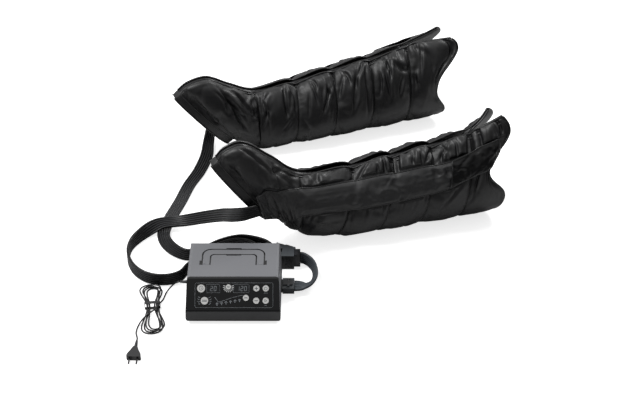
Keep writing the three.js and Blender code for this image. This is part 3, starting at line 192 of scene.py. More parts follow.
link_hose_rows = [
    (166.3, 130, 23.5, 90), (172, 130, 23.5, 90), (187, 119, 23, 91), (200, 99, 22.5, 95),
    (205, 72, 21.5, 104), (200, 45, 20.5, 124), (186, 29, 19.5, 150), (171, 25.2, 18.3, 172),
    (158.1, 25, 18, 180), (152.1, 25, 18, 180),
]


def smooth_curve(rows, count):
    """The smooth curve through the rows, with this many places from each row to the next."""
    rows = np.array(rows, float)
    rows = np.vstack([2 * rows[0] - rows[1], rows, 2 * rows[-1] - rows[-2]])
    t = np.linspace(0, 1, count, endpoint=False)[:, None]
    fine = []
    for i in range(1, len(rows) - 2):
        p = rows[i - 1:i + 3]
        a, b, c = [np.linalg.norm(p[k + 1][:3] - p[k][:3]) ** 0.5 for k in range(3)]
        lead = ((p[1] - p[0]) / a - (p[2] - p[0]) / (a + b) + (p[2] - p[1]) / b) * b
        trail = ((p[2] - p[1]) / b - (p[3] - p[1]) / (b + c) + (p[3] - p[2]) / c) * b
        fine.append(p[1] + lead * t + (3 * (p[2] - p[1]) - 2 * lead - trail) * t ** 2
                    + (2 * (p[1] - p[2]) + lead + trail) * t ** 3)
    return np.vstack(fine + [rows[-2]])


def reach(points):
    """How far along a line each of its points lies."""
    return np.concatenate([[0], np.cumsum(np.linalg.norm(np.diff(points, axis=0), axis=1))])


def even_run(rows, steps):
    """Equal steps along the smooth curve through the rows, with every column carried along."""
    fine = smooth_curve(rows, 24)
    far = reach(fine[:, :3])
    marks = np.linspace(0, far[-1], steps + 1)
    return np.stack([np.interp(marks, far, column) for column in fine.T], axis=1)


def ring_faces(rings, count):
    """The quads between closed rings of points."""
    return [(i * count + j, i * count + (j + 1) % count, (i + 1) * count + (j + 1) % count,
             (i + 1) * count + j) for i in range(rings - 1) for j in range(count)]


def faced_out(mesh, weld=0.0):
    """The same mesh with points that meet welded, and with all its faces turned outward."""
    solid = bmesh.new()
    solid.from_mesh(mesh)
    if weld:
        bmesh.ops.remove_doubles(solid, verts=solid.verts, dist=weld)
    bmesh.ops.recalc_face_normals(solid, faces=solid.faces)
    solid.to_mesh(mesh)
    solid.free()
    return mesh


def swept(name, centres, section, rolls=0.0):
    """A closed tube mesh: the section carried along the centres, level at roll 0, with its UVs."""
    centres, section = np.array(centres, float), np.array(section, float)
    along = np.gradient(centres, axis=0)
    along /= np.linalg.norm(along, axis=1)[:, None]
    side = np.cross(along, (0, 0, 1.0))
    side /= np.linalg.norm(side, axis=1)[:, None]
    up = np.cross(side, along)
    rolls = (np.radians(rolls) + np.zeros(len(centres)))[:, None, None]
    w, h = section[None, :, :1], section[None, :, 1:]
    points = (centres[:, None] + side[:, None] * (w * np.cos(rolls) - h * np.sin(rolls))
              + up[:, None] * (w * np.sin(rolls) + h * np.cos(rolls)))
    rings, count = points.shape[:2]
    ends = [tuple(range(count))[::-1], tuple((rings - 1) * count + j for j in range(count))]
    mesh = faced_out(new_mesh(name, points, ring_faces(rings, count) + ends))
    far, around = reach(centres), reach(np.vstack([section, section[:1]]))
    layer = mesh.uv_layers.new(name="run")
    for face in mesh.polygons:
        last = face.index < (rings - 1) * count and face.index % count == count - 1
        for loop in face.loop_indices:
            i, j = divmod(mesh.loops[loop].vertex_index, count)
            layer.data[loop].uv = (far[i], around[count if last and j == 0 else j])
    return mesh


def hose_section():
    """Half round ridges above and below each air way, and how high on its ridge each point is."""
    edge, way = HOSE_WIDTH_MM / 2, HOSE_WIDTH_MM / HOSE_WAYS
    top, swell = [], []
    for k in range(HOSE_WAYS):
        for t in np.linspace(0, 1, 7)[:-1]:
            swell.append(math.sin(math.pi * t) ** 0.55)
            top.append((edge - (k + t) * way, HOSE_THICKNESS_MM / 2 * (0.5 + 0.5 * swell[-1])))
    top = [(edge, 0.9)] + top[1:] + [(-edge, 0.9)]
    swell.append(0.0)
    return [(x / 1000, y / 1000) for x, y in top + [(-x, -y) for x, y in top]], swell + swell


def moulded(name, colour, roughness, grain_mm=0.6, depth_mm=0.02, specular=0.5, spread=0.05, ridge_highlight=None):
    """Moulded plastic: an even colour with a fine grain and small changes of gloss.

    The grain is drawn coarser than the real one, so that it shows. With a highlight colour the plastic is
    extruded, and a highlight is painted in that colour along the top of its ridges.
    """
    finish, tree = finish_named(name)
    place = add_node(tree, "ShaderNodeTexCoord").outputs["Object"]
    grain = add_node(tree, "ShaderNodeTexNoise", {"Vector": place, "Scale": 1000 / grain_mm, "Detail": 2.0})
    cloud = add_node(tree, "ShaderNodeTexNoise", {"Vector": place, "Scale": 22.0, "Detail": 4.0})
    gloss = add_node(tree, "ShaderNodeMapRange", {
        "Value": cloud, "To Min": roughness - spread, "To Max": roughness + spread})
    relief = add_node(tree, "ShaderNodeBump", {
        "Strength": 0.35, "Distance": depth_mm / 1000, "Height": grain})
    # Painted highlight: the last colour is mixed in along the top of each ridge.
    if ridge_highlight:
        ridge = add_node(tree, "ShaderNodeAttribute", attribute_name="swell").outputs["Fac"]
        share = add_node(tree, "ShaderNodeMapRange", {"Value": ridge, "From Min": 0.93})
        colour = add_node(tree, "ShaderNodeMix", {"Factor": share, "A": colour, "B": ridge_highlight}, data_type="RGBA")
    body = add_node(tree, "ShaderNodeBsdfPrincipled", {
        "Base Color": colour, "Specular IOR Level": specular, "Roughness": gloss, "Normal": relief})
    add_node(tree, "ShaderNodeOutputMaterial", {"Surface": body})
    return finish


def mount(piece, finish, slot, *nodes, body="set"):
    """Finishes a piece, lets it stand for CAD nodes and ride on a body. Its slot is not used."""
    piece.data.materials.append(finish)
    if nodes:
        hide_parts(*nodes)
    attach(piece, body)
    return piece


# The pale last colour of each hose finish is a painted highlight along the tubes' ridges.
hose_pvc = moulded("extruded_soft_pvc_black", "#070708", 0.38, 1.2, 0.03, 0.24, 0.08, "#3a3c40")
hose_pvc_grey = moulded("extruded_soft_pvc_grey", "#3d4246", 0.45, 1.2, 0.03, 0.24, 0.08, "#666c72")
section, swell = hose_section()
for label, rows, steps, finish, slot, holders in (
        ("near_hose", near_hose_rows, 260, hose_pvc, "hose_black", ["near_hose_plug", "hose_splitter"]),
        ("far_hose", far_hose_rows, 220, hose_pvc, "hose_black", ["far_hose_plug"]),
        ("link_hose", link_hose_rows, 90, hose_pvc_grey, "hose_grey", None)):
    run = even_run(rows, steps)
    path = [placed(*row[:3]) for row in run]
    ribbon = added(swept(label + "_ribbon", path, section, run[:, 3]))
    ribbon.data.attributes.new("swell", "FLOAT", "POINT").data.foreach_set("value", swell * len(path))
    mount(ribbon, finish, slot, label)


# Mains lead: 4 mm round black flex that leaves the unit's left wall through its strain relief,
# is folded into a hank of four loops under a band, and ends in the flat two-pin plug.
FLEX_MM = 4
HANK_START, HANK_END = math.pi / 2, math.pi / 2 + 8 * math.pi


def hank_point(t):
    """A point of the hank, in the drawing's millimetres, for an angle along its turns."""
    turns, pitch, layer, waist = 2, 5.5, 6.4, 5
    middle = (HANK_START + HANK_END) / 2

    def ease(x):
        x = min(1, max(0, x))
        return x * x * (3 - 2 * x)

    out = abs(t - middle) / (2 * math.pi)
    climb = ease((t - middle) / math.pi + 0.5)
    leave = ease((t - HANK_END) / (0.5 * math.pi) + 1)
    bulge = 7 + 5 * out / turns
    x = math.sin(t) * (waist + pitch * out + 4 * bulge * math.cos(t) ** 2)
    y = ((82 if math.cos(t) > 0 else 98) - pitch * (turns - out)) * math.cos(t)
    tilt = math.radians(7.5 + 4 * (2 * climb - 1))
    lift = 1.7 * math.exp(-((y / 16) ** 2))
    return (-208 + x * math.cos(tilt) - y * math.sin(tilt),
            -40 + x * math.sin(tilt) + y * math.cos(tilt), 2.1 + lift + layer * (climb + leave))


def heading(a, b):
    """The direction from one point to another."""
    return (b - a) / np.linalg.norm(b - a)


def round_section(diameter_mm, sides):
    """A circle of points, in metres."""
    return [(diameter_mm / 2000 * math.cos(a), diameter_mm / 2000 * math.sin(a))
            for a in np.linspace(0, 2 * math.pi, sides + 1)[:-1]]


hank = np.array([hank_point(HANK_START + (HANK_END - HANK_START) * i / 192) for i in range(193)])
plug_turn, plug_reach = math.radians(-2), 62.3
plug_entry = np.array([-237 - math.sin(plug_turn) * plug_reach,
                       -228.4 + math.cos(plug_turn) * plug_reach, 6.85])
lead = even_run([(-142.3, 32, 26), (-148, 32, 26), (-161, 36, 13), (-177, 17, 4), (-184, -10, 2.2),
                 hank[0] - 8.3 * heading(hank[0], hank[1]), hank[0]], 60)
tail = even_run([hank[-1], hank[-1] + 6.3 * heading(hank[-2], hank[-1]), (-201, -64, 16.4),
                 (-215, -78, 15), (-229, -92, 8), (-238, -110, 2.3), (-240, -135, 4),
                 plug_entry + (0, 8, 0), plug_entry], 60)
path = [placed(*p) for p in np.vstack([lead[:-1], hank, tail[1:]])]
flex_pvc = moulded("mains_flex_pvc", "#141416", 0.36, 0.8)
mains_flex = mount(added(swept("mains_flex", path, round_section(FLEX_MM, 12))), flex_pvc, "cord_black",
                   "power_cord_lead", "power_cord_hank", "power_cord_tail")


# Boot shape: each boot lies on its calf. A station is a plane across it, with its place on the calf
# line and on the zip ridge, half its width, the ridge's lean behind the calf, and half the zip gap.
# A step of the sleeve's plan is a place along the stations, and its low and high edge as shares.
SEAM_WALL_MM = 3
SEAM_STEP_MM, HALF_GIRTH_MM = 112, 225      # cloth from seam to seam, and from the calf to the zip
near_stations = [
    ((36, 98), (-104, 292), 42, 8, 10), ((46, 87), (-86, 308), 50, 12, 10),
    ((58, 73), (-38, 318), 55, 16, 10), ((74, 56), (40, 258), 57, 18, 10),
    ((94, 40), (112, 196), 60, 20, 10), ((187, 11.5), (258, 189), 74, 20, 10),
    ((302, 6.5), (367, 202.4), 82, 20, 10), ((417, 6.5), (476, 215.7), 82, 20, 10),
    ((532, 6.5), (585, 229), 84, 20, 10), ((668, 8.5), (690, 270), 84, 20, 32),
]
far_stations = [
    ((26, 44), (-124, 226), 42, 8, 10), ((37, 34), (-100, 240), 50, 12, 10),
    ((48, 23), (-42, 246), 55, 16, 10), ((64, 12), (26, 208), 57, 18, 10),
    ((84, 6.5), (94, 174), 60, 20, 10), ((186, 6.5), (218, 178), 74, 20, 10),
    ((300, 6.5), (332, 193.7), 82, 20, 10), ((415, 6.5), (446, 209.3), 82, 20, 10),
    ((530, 6.5), (560, 225), 84, 20, 10), ((662, 8.5), (722, 240), 84, 20, 32),
]
sleeve_plan = [(1.1, 0.16, 0.5), (1.6, 0.165, 0.52), (2.7, 0.2, 0.63), (3.5, 0.36, 0.79),
               (4, 0.49, 0.87), (4.5, 0.57, 0.89), (5, 0.585, 0.905), (6, 0.585, 0.89),
               (7, 0.585, 0.87), (7.4, 0.605, 0.865), (8, 0.7, 0.88), (8.6, 0.75, 0.9)]


class Boot:
    """One boot's surface, from its stations, in the drawing's millimetres around its heel.

    Outer is the side of its hose sleeve, and mouth is where the sleeve begins and how far its low
    corner reaches on. The edge at the zip arches by the scallop over each chamber. Raised lifts
    the front and the rear flap. Notch is how far the thigh's end is cut back at the calf, and the
    height and width of its scoop.
    """

    places = 100                       # on each curve, from one station to the next
    flap_mm, heel_mm = 24, 30          # corner radii of the thigh's end, at the zip and at the calf

    def __init__(self, name, heel, turn, outer, stations, mouth, scallop, raised, notch):
        self.name, self.heel, self.outer, self.raised = name, heel, outer, raised
        self.turn, self.stations, self.notch = math.radians(turn), stations, notch
        self.mouth, self.scallop = mouth, scallop
        self.calf = smooth_curve([(c[0], half, c[1]) for c, _, half, _, _ in stations], self.places)
        self.ridge = smooth_curve([(r[0], 0, r[1]) for _, r, _, _, _ in stations], self.places)

    def _at(self, curve, s):
        """A curve's points at places along the stations."""
        marks = np.arange(len(curve)) / self.places
        return np.stack([np.interp(s, marks, column) for column in curve.T], axis=-1)

    def ridge_at(self, s):
        """The ridge, straight where the zip slider runs."""
        a, b = np.array(self.stations[5][1], float), np.array(self.stations[8][1], float)
        line = a + (b - a) * ((s - 5) / 3)[..., None]
        held = ((s >= 5) & (s <= 8))[..., None]
        return np.where(held, np.stack([line[..., 0], 0 * s, line[..., 1]], axis=-1),
                        self._at(self.ridge, s))

    def blend(self, column, s):
        """A column of the stations at places between them."""
        return np.interp(s, np.arange(10), [row[column] for row in self.stations])

    def surface(self, s, p, rise=0.0):
        """Points on the boot and the way out from them: p is -1 and 1 at the zip and 0 at the calf."""
        s, p, rise = np.broadcast_arrays(np.asarray(s, float), np.asarray(p, float), rise)
        seam = np.where((s > 4.5) & (s < 8.5), np.abs(s - np.round(s)) * SEAM_STEP_MM, 99)
        pinch = np.where(s < 7.5, 8, 3) * np.exp(-((seam / 11) ** 2)) * np.abs(p) ** 4
        rise = rise - pinch * np.clip(40 * (1 - np.abs(p)), 0, 1)
        calf, ridge = self._at(self.calf, s), self.ridge_at(s)
        half, lean, gap = calf[..., 1], self.blend(3, s), self.blend(4, s)
        way = ridge - calf
        way[..., 1] = 0
        span = np.linalg.norm(way, axis=-1)

        def flat(q):
            share = (1 - np.cos(np.pi * np.abs(q))) / 2
            swell = half * np.sin(np.pi * np.abs(q)) * (1 + 0.25 * np.cos(np.pi * q))
            return np.sign(q) * (swell + gap * np.abs(q) ** 3) + lean * share ** 2, share * span

        (y, w), (ya, wa), (yb, wb) = flat(p), flat(p - 1e-4), flat(p + 1e-4)
        size = np.hypot(yb - ya, wb - wa)
        ny, nw = (wb - wa) / size, (ya - yb) / size

        # The edge at the zip arches over each leg chamber and dips at each seam
        arch = np.sin(np.pi * np.clip(s - np.floor(s), 0, 1) ** 1.9) ** 0.75
        lump = np.where((s > 4.02) & (s < 7.694), arch, np.where(s < 5, 0, 1))
        lift = self.scallop * lump * np.abs(p) ** 7

        # Past the last seam the thigh's end is scooped out, with round corners and raised flaps
        over = np.maximum(0, s - 8)
        share = (w + nw * rise) / span
        level = np.clip(w / span, 0, 1)
        low, middle, wide = self.notch
        middle = np.where(p > 0, 0.55, middle)
        back = over ** 2 * (low * (1 - level) + 62 * np.exp(-(np.abs((level - middle) / wide) ** 2.5)))
        short = np.where(p > 0, 20 * over * np.clip(share, 0, None) ** 3, 0)
        for radius, far in ((self.flap_mm, (1 - share) * span), (self.heel_mm, share * span)):
            tip = np.clip(1 - far / radius, 0, 1)
            short += radius * over ** 2 * (1 - np.sqrt(1 - tip ** 2))
        more = np.where(p < 0, *self.raised) * over + np.where(p < 0, 9 * np.clip(over / 0.12, 0, 1), 0)
        lift = lift + more * np.abs(p) ** 5

        points = calf * (1, 0, 1) + way * share[..., None]
        points[..., 0] -= back + short
        points[..., 1] = y + ny * rise
        points[..., 2] += lift
        normal = way / span[..., None] * nw[..., None]
        normal[..., 1] = ny
        return points, normal

    def world(self, points):
        """Points around the heel, in millimetres, as metres in the part's frame."""
        c, n = math.cos(self.turn), math.sin(self.turn)
        x = self.heel[0] + points[..., 0] * c - points[..., 1] * n + LAYOUT[0]
        y = self.heel[1] + points[..., 0] * n + points[..., 1] * c + LAYOUT[1]
        return np.stack([x, y, points[..., 2]], axis=-1) / 1000

    def line(self, s, p, rise, lowest=-1.0):
        """A line on the boot, in metres, that is nowhere under its lowest height."""
        points = self.world(self.surface(s, p, rise)[0])
        points[:, 2] = np.maximum(points[:, 2], lowest)
        return points

    def sleeve_edges(self, s):
        """The hose sleeve's low and high edge, as shares of the way up."""
        stops, low, high = zip(*sleeve_plan)
        return np.interp(s, stops, low), np.interp(s, stops, high)


boots = [
    Boot("near", (57.6, 224.7), 15, -1, near_stations, (1.1, 26), 13, (8, 3), (17, 0.64, 0.21)),
    Boot("far", (-58, 646), 18.7, 1, far_stations, (3, 10), 9, (-6, 8), (10, 0.56, 0.28)),
]


# Air chambers: two layers of coated nylon welded along the seams and blown up, so the cloth swells
# between the seams, is gathered under the zip and creases where the leg bends.
def nylon(name, colour, pale, roughness, crumple_mm, relief_mm, weave_mm=1.0, shine=0.5):
    """Coated nylon taffeta: a plain weave, creased all over and rubbed paler on its folds.

    The weave is drawn at several times its real pitch, so that it shows.
    """
    finish, tree = finish_named(name)
    place = add_node(tree, "ShaderNodeTexCoord").outputs["Object"]
    threads = [add_node(tree, "ShaderNodeTexWave", {
        "Vector": place, "Scale": 50 / weave_mm, "Distortion": 0.4}, bands_direction=way).outputs["Fac"]
        for way in "XZ"]
    weave = add_node(tree, "ShaderNodeMath", {0: threads[0], 1: threads[1]}, operation="ADD")
    creases = add_node(tree, "ShaderNodeTexNoise", {
        "Vector": place, "Scale": 500 / crumple_mm, "Detail": 4.0, "Roughness": 0.55,
        "Distortion": 0.6}, noise_type="RIDGED_MULTIFRACTAL")
    crumple = add_node(tree, "ShaderNodeTexNoise", {"Vector": place, "Scale": 30.0, "Detail": 4.0})
    patch = add_node(tree, "ShaderNodeTexNoise", {"Vector": place, "Scale": 7.0, "Detail": 3.0})
    tint = add_node(tree, "ShaderNodeMix", {"Factor": crumple, "A": colour, "B": pale}, data_type="RGBA")
    gloss = add_node(tree, "ShaderNodeMapRange", {
        "Value": patch, "To Min": roughness - 0.08, "To Max": roughness + 0.1})
    folds = add_node(tree, "ShaderNodeBump", {
        "Strength": 0.4, "Distance": relief_mm / 1000, "Height": creases})
    cloth = add_node(tree, "ShaderNodeBump", {
        "Strength": 0.15, "Distance": 0.00012, "Height": weave, "Normal": folds})
    body = add_node(tree, "ShaderNodeBsdfPrincipled", {
        "Base Color": tint, "Specular IOR Level": shine, "Roughness": gloss, "Normal": cloth})
    add_node(tree, "ShaderNodeOutputMaterial", {"Surface": body})
    return finish


boot_nylon = nylon("coated_nylon_taffeta_black", "#050506", "#0e0e10", 0.45, 44, 0.8, shine=0.43)


def noise(u, v, seed):
    """Smooth random heights from 0 to 1 over cells that are one unit wide."""
    table = np.random.default_rng(seed).random((128, 128))
    iu, iv = np.floor(u).astype(int), np.floor(v).astype(int)
    fu, fv = u - iu, v - iv
    fu, fv = fu * fu * (3 - 2 * fu), fv * fv * (3 - 2 * fv)
    a, b = table[iu % 128, iv % 128], table[(iu + 1) % 128, iv % 128]
    c, d = table[iu % 128, (iv + 1) % 128], table[(iu + 1) % 128, (iv + 1) % 128]
    return (a * (1 - fu) + b * fu) * (1 - fv) + (c * (1 - fu) + d * fu) * fv


def creased(u, v, seed):
    """Crumpled cloth, about -0.5 to 0.5: facets between sharp folds of three sizes."""
    total = 0
    for k, (scale, weight) in enumerate(((1, 0.72), (2.1, 0.24), (4.3, 0.05))):
        total = total + weight * (0.5 - np.abs(2 * noise(u * scale, v * scale, seed + k) - 1))
    return total


def pressed_folds(u, v, seed, count, across, down, tilt=0.35, reach=(16, 42), width=(3.0, 5.5)):
    """Crisp folds in the cloth, each a valley with a raised lip, at random places in millimetres."""
    rng = np.random.default_rng(seed)
    total = 0
    for _ in range(count):
        angle, long, wide = rng.normal(0, tilt), rng.uniform(*reach), rng.uniform(*width)
        du, dv = u - rng.uniform(*across), v - rng.uniform(*down)
        along = du * math.sin(angle) + dv * math.cos(angle)
        away = du * math.cos(angle) - dv * math.sin(angle) + rng.normal(0, 0.004) * along ** 2
        fold = 0.45 * np.exp(-(((away - 2.1 * wide) / (1.5 * wide)) ** 2)) - np.exp(-((away / wide) ** 2))
        total = total + rng.uniform(0.45, 1) * fold * np.exp(-((along / long) ** 4))
    return total


def numbered(points):
    """The numbers of a grid's points, in its rows and columns."""
    return np.arange(points[..., 0].size).reshape(points.shape[:2])


def quads_of(grid):
    """The corners of the quads between the numbered points of a grid."""
    return np.stack([grid[:-1, :-1], grid[:-1, 1:], grid[1:, 1:], grid[1:, :-1]], axis=-1)


def blown_up(points, slack, pressure, cap):
    """Blows up a sheet that is welded along its rim, and keeps each point within the cap."""
    grid = numbered(points)
    sheet = added(new_mesh("sheet", points, quads_of(grid).reshape(-1, 4).tolist()))
    rim = np.unique(np.concatenate([grid[0], grid[-1], grid[:, 0], grid[:, -1]])).tolist()
    sheet.vertex_groups.new(name="welded").add(rim, 1.0, "REPLACE")
    cloth = sheet.modifiers.new("air", "CLOTH")
    cloth.point_cache.frame_start, cloth.point_cache.frame_end = 1, 20
    air = cloth.settings
    air.vertex_group_mass = "welded"
    air.use_pressure = True
    air.uniform_pressure_force = pressure
    air.shrink_min = -slack
    air.quality = 4
    air.tension_stiffness = air.compression_stiffness = 15
    air.bending_stiffness = 0.05
    air.effector_weights.gravity = 0
    for step in range(1, 21):
        bpy.context.scene.frame_set(step)
    live = sheet.evaluated_get(bpy.context.evaluated_depsgraph_get())
    shift = np.array([v.co for v in live.data.vertices]).reshape(points.shape) - points
    bpy.context.scene.frame_set(1)
    bpy.data.meshes.remove(sheet.data)
    for axis in (0, 1):
        s = np.moveaxis(shift, axis, 0)
        s[1:-1] = (s[:-2] + 2 * s[1:-1] + s[2:]) / 4
    far = np.linalg.norm(shift, axis=-1, keepdims=True)
    return points + shift * np.minimum(1, cap / np.maximum(far, 1e-9))


def doubled(points):
    """Twice as fine a grid, smooth through the given points."""
    for axis in (0, 1):
        p = np.moveaxis(points, axis, 0)
        ends = np.concatenate([2 * p[:1] - p[1:2], p, 2 * p[-1:] - p[-2:-1]])
        between = (9 * (ends[1:-2] + ends[2:-1]) - ends[:-3] - ends[3:]) / 16
        fine = np.empty((2 * len(p) - 1,) + p.shape[1:])
        fine[::2], fine[1::2] = p, between
        points = np.moveaxis(fine, 0, axis)
    return points


def outward(points):
    """The way out from each point of a grid."""
    along, around = np.gradient(points, axis=0), np.gradient(points, axis=1)
    way = np.cross(around, along)
    return way / np.maximum(np.linalg.norm(way, axis=-1, keepdims=True), 1e-12)


def closed_mesh(name, top, low):
    """A closed body between two grids with a common rim, which is taken from the first."""
    grid = numbered(top)
    under = grid.copy()
    under[1:-1, 1:-1] = grid.size + numbered(low[1:-1, 1:-1])
    faces = np.concatenate([quads_of(grid), quads_of(under)[..., [0, 3, 2, 1]]])
    points = np.concatenate([top.reshape(-1, 3), low[1:-1, 1:-1].reshape(-1, 3)])
    return new_mesh(name, points, faces.reshape(-1, 4).tolist())


def chamber_mesh(boot, name, first, last, rows, seed, puff):
    """A chamber between two seams: outer cloth blown up, gathered and creased, and inner cloth."""
    trim = 0.006 if first == 0 else 0.0014

    def spots(count, columns):
        row = np.linspace(0, 1, count)[:, None]
        p = np.linspace(-1, 1, columns)[None, :]
        return row, first + trim + (last - first - 2 * trim) * row, p, np.abs(p)

    row, s, p, side = spots(rows, 121)
    fade = np.sin(np.minimum(1, (1 - side) / np.where(p < 0, 0.12, 0.32)) * np.pi / 2)
    taut = 0.55 + 0.45 * np.clip((side - 0.3) / 0.4, 0, 1)
    skin, normal = boot.surface(s, p)
    fuller = np.where(p < 0, 1.7, 1.0) if first == 0 else 1.0
    arch = np.sin(np.pi * row) ** (0.6 + 0.6 * np.clip((side - 0.5) / 0.4, 0, 1))
    skin = skin + normal * (arch * fade * taut * puff * fuller)[..., None]
    skin = doubled(blown_up(boot.world(skin), slack=0.022, pressure=6.0, cap=0.010))

    # Gathers run down from the zip, folds cross the rest, and the seams pucker
    row, s, p, side = spots(2 * rows - 1, 241)
    u, v = s * (SEAM_STEP_MM if first else 36) + 0 * p, p * HALF_GIRTH_MM + 0 * s
    sway = 9 * noise(u / 45, v / 45, seed + 40)
    gathers = creased((u + sway) / 23, v / 120, seed)
    pulled = np.clip((side - 0.5) / 0.4, 0, 1) ** 1.4 * np.clip((s - 1.6) / 2, 0.22, 1)
    pulled = pulled * np.where(p > 0, np.clip((1 - side) / 0.3, 0.1, 1), 1)
    folds = creased((u + 0.35 * v) / 62, (v - 0.2 * u) / 74, seed + 10)
    bend = np.exp(-((s - 4.1) / 0.9) ** 2) if first < 5 else 0 * s
    to_seam = SEAM_STEP_MM * (last - first) * np.minimum(row, 1 - row)
    pucker = creased(u / 60, v / 11, seed + 20) * np.exp(-to_seam / 9)
    height = 7 * gathers * pulled + (3.2 + 2 * pulled + 4 * bend) * folds + 1.2 * pucker
    span = (u.min() + 8, u.max() - 8) if first else (75, 140)
    for sign in (-1, 1):
        near_zip = pressed_folds(u, sign * v, seed + 60, 8, span, (135, 205))
        near_zip = near_zip * (1 if sign < 0 else 0.8 * np.clip((1 - side) / 0.35, 0, 1))
        height = height + 6.5 * near_zip
        height = height + 2.4 * pressed_folds(u, sign * v, seed + 70, 3, span, (40, 130), 0.9)
    height = height * np.minimum(1, np.minimum(to_seam / 7, (1 - side) * HALF_GIRTH_MM / 5))
    if first == 0:
        tuck = np.sin(np.pi * np.clip((side - 0.2) / 0.7, 0, 1)) * (p < 0)
        height = height - 11 * tuck * np.exp(-((s - 0.6) / 0.4) ** 2) * np.clip(s / 0.2, 0, 1)
    top = skin + outward(skin) * (height / 1000)[..., None]

    # Under the hose sleeve the cloth is pressed flat, and on the floor it is flat too
    base, normal = boot.surface(s, p)
    tip = boot.world(base + normal)
    base = boot.world(base)
    out = (tip - base) / np.linalg.norm(tip - base, axis=-1, keepdims=True)
    rise = ((top - base) * out).sum(axis=-1)
    low_edge, high_edge = boot.sleeve_edges(s)
    share = (1 - np.cos(np.pi * side)) / 2
    covered = (np.sign(p) == boot.outer) & (s > boot.mouth[0] - 0.4)
    inset = np.minimum(share - low_edge + 0.02, high_edge + 0.02 - share) * covered
    limit = np.where(covered, 0.0066 + 0.02 * np.clip(-inset / 0.05, 0, 1), 1.0)
    top = top + out * (np.minimum(rise, limit) - rise)[..., None]
    top[..., 2] = np.maximum(top[..., 2], 0.0003)

    # The inner cloth swells too, 7 mm towards the leg
    crown = np.sin(np.pi * row) ** 0.6 * np.sin(np.minimum(1, (1 - side) / 0.12) * np.pi / 2)
    inner, inward = boot.surface(s, p, -SEAM_WALL_MM / 2)
    inner = boot.world(inner - inward * (crown * (7 + 2 * folds))[..., None])
    inner[..., 2] = np.maximum(inner[..., 2], 0.002)
    return closed_mesh(name, top, inner)


for boot in boots:
    seams = [0, 4, 5, 6, 7, 8, 9]
    for c, (first, last) in enumerate(zip(seams, seams[1:])):
        node = f"{boot.name}_leg_chamber_{c}" if c else f"{boot.name}_foot_chamber"
        cloth = chamber_mesh(boot, node + "_cloth", first, last, 27 if c else 61,
                             60 * c + (3 if boot.name == "near" else 500), 9 if c else 8)
        mount(added(cloth), boot_nylon, "boot_nylon", node)


# Soles: a padded panel of the same cloth sewn into the foot's open end, with a cord in each of its
# two edges, so that the end shows a dark band between two round lines. A step of the plan is how
# far the ring stands out from the foot's end, and its size.
SOLE_POINTS = 161
sole_plan = [(0.3, 0.9), (0.3, 0.97), (0.8, 1.0), (4, 1.008), (8, 1.012), (12, 1.014), (16, 1.01),
             (20, 1.0), (22.5, 0.98), (24.2, 0.94), (25.2, 0.88), (26.2, 0.75), (27, 0.55),
             (27.4, 0.35), (27.6, 0.15)]


def cord_along(name, points, diameter_mm, slot="zip_tape", sides=8):
    """A round cord of binding nylon along points that are in metres."""
    mount(added(swept(name, points, round_section(diameter_mm, sides))), piping_nylon, slot)


piping_nylon = nylon("nylon_binding_black", "#060607", "#0d0d0f", 0.34, 6, 0.2, 0.8)
for boot in boots:
    around = np.linspace(-1, 1, SOLE_POINTS)
    heart = boot.surface(0.0, 0.0, -140.0)[0]
    heart[1] = 4
    (calf_x, calf_z), (ridge_x, ridge_z) = boot.stations[0][:2]
    square = np.cross(heading(np.array([calf_x, 0, calf_z]), np.array([ridge_x, 0, ridge_z])), (0, 1, 0))
    square *= -np.sign(square[0])

    def sole_ring(shift, size):
        return (boot.surface(0.0, around)[0] - heart) * size + heart + square * shift

    rings = np.stack([boot.world(sole_ring(*step)) for step in sole_plan])
    shifts = np.array([step[0] for step in sole_plan])[:, None]
    ripple = creased(np.arange(SOLE_POINTS)[None, :] / 4.0, shifts / 14, 77)
    bulge = np.sin(np.pi * np.clip(shifts / 22, 0, 1))
    rings = rings + outward(rings) * (ripple * bulge * 0.0018)[..., None]
    ends = [boot.world(heart + square * shift)[None] for shift in (0.3, 27.7)]
    points = np.vstack([rings.reshape(-1, 3)] + ends)
    points[:, 2] = np.maximum(points[:, 2], 0.0003)
    faces = ring_faces(len(rings), SOLE_POINTS)
    last = (len(rings) - 1) * SOLE_POINTS
    for j in range(SOLE_POINTS):
        k = (j + 1) % SOLE_POINTS
        faces += [(len(points) - 2, k, j), (len(points) - 1, last + j, last + k)]
    panel = added(faced_out(new_mesh(f"{boot.name}_sole_panel", points, faces)))
    mount(panel, boot_nylon, "boot_nylon", f"{boot.name}_sole")
    for k, (shift, size) in enumerate(((0.4, 1.02), (22.5, 0.995))):
        cord_along(f"{boot.name}_sole_piping_{k + 1}", boot.world(sole_ring(shift, size)), 4.2)


# Edge binding: a cord folded into nylon tape along both sides of the zip and round the thigh end,
# with a row of stitches beside it. A thinner cord lies in each welded seam.
spread = bpy.data.node_groups.new("pieces_along_line", "GeometryNodeTree")
sockets = {label: spread.interface.new_socket(label, in_out=way, socket_type="NodeSocket" + kind).identifier
           for label, kind, way in (("Line", "Geometry", "INPUT"), ("Pitch", "Float", "INPUT"),
                                    ("Size", "Vector", "INPUT"), ("Finish", "Material", "INPUT"),
                                    ("Pieces", "Geometry", "OUTPUT"))}
start = add_node(spread, "NodeGroupInput").outputs
curve = add_node(spread, "GeometryNodeMeshToCurve", {"Mesh": start["Line"]})
even = add_node(spread, "GeometryNodeResampleCurve", {
    "Curve": curve, "Length": start["Pitch"]}, mode="LENGTH")
tangent = add_node(spread, "GeometryNodeInputTangent")
turn = add_node(spread, "FunctionNodeAlignRotationToVector", {"Vector": tangent}, axis="X")
block = add_node(spread, "GeometryNodeMeshCylinder", {"Vertices": 6, "Radius": 0.5, "Depth": 1.0})
tilted = add_node(spread, "GeometryNodeTransform", {"Geometry": block, "Rotation": (0, math.pi / 2, 0)})
pieces = add_node(spread, "GeometryNodeInstanceOnPoints", {
    "Points": even, "Instance": tilted, "Rotation": turn, "Scale": start["Size"]})
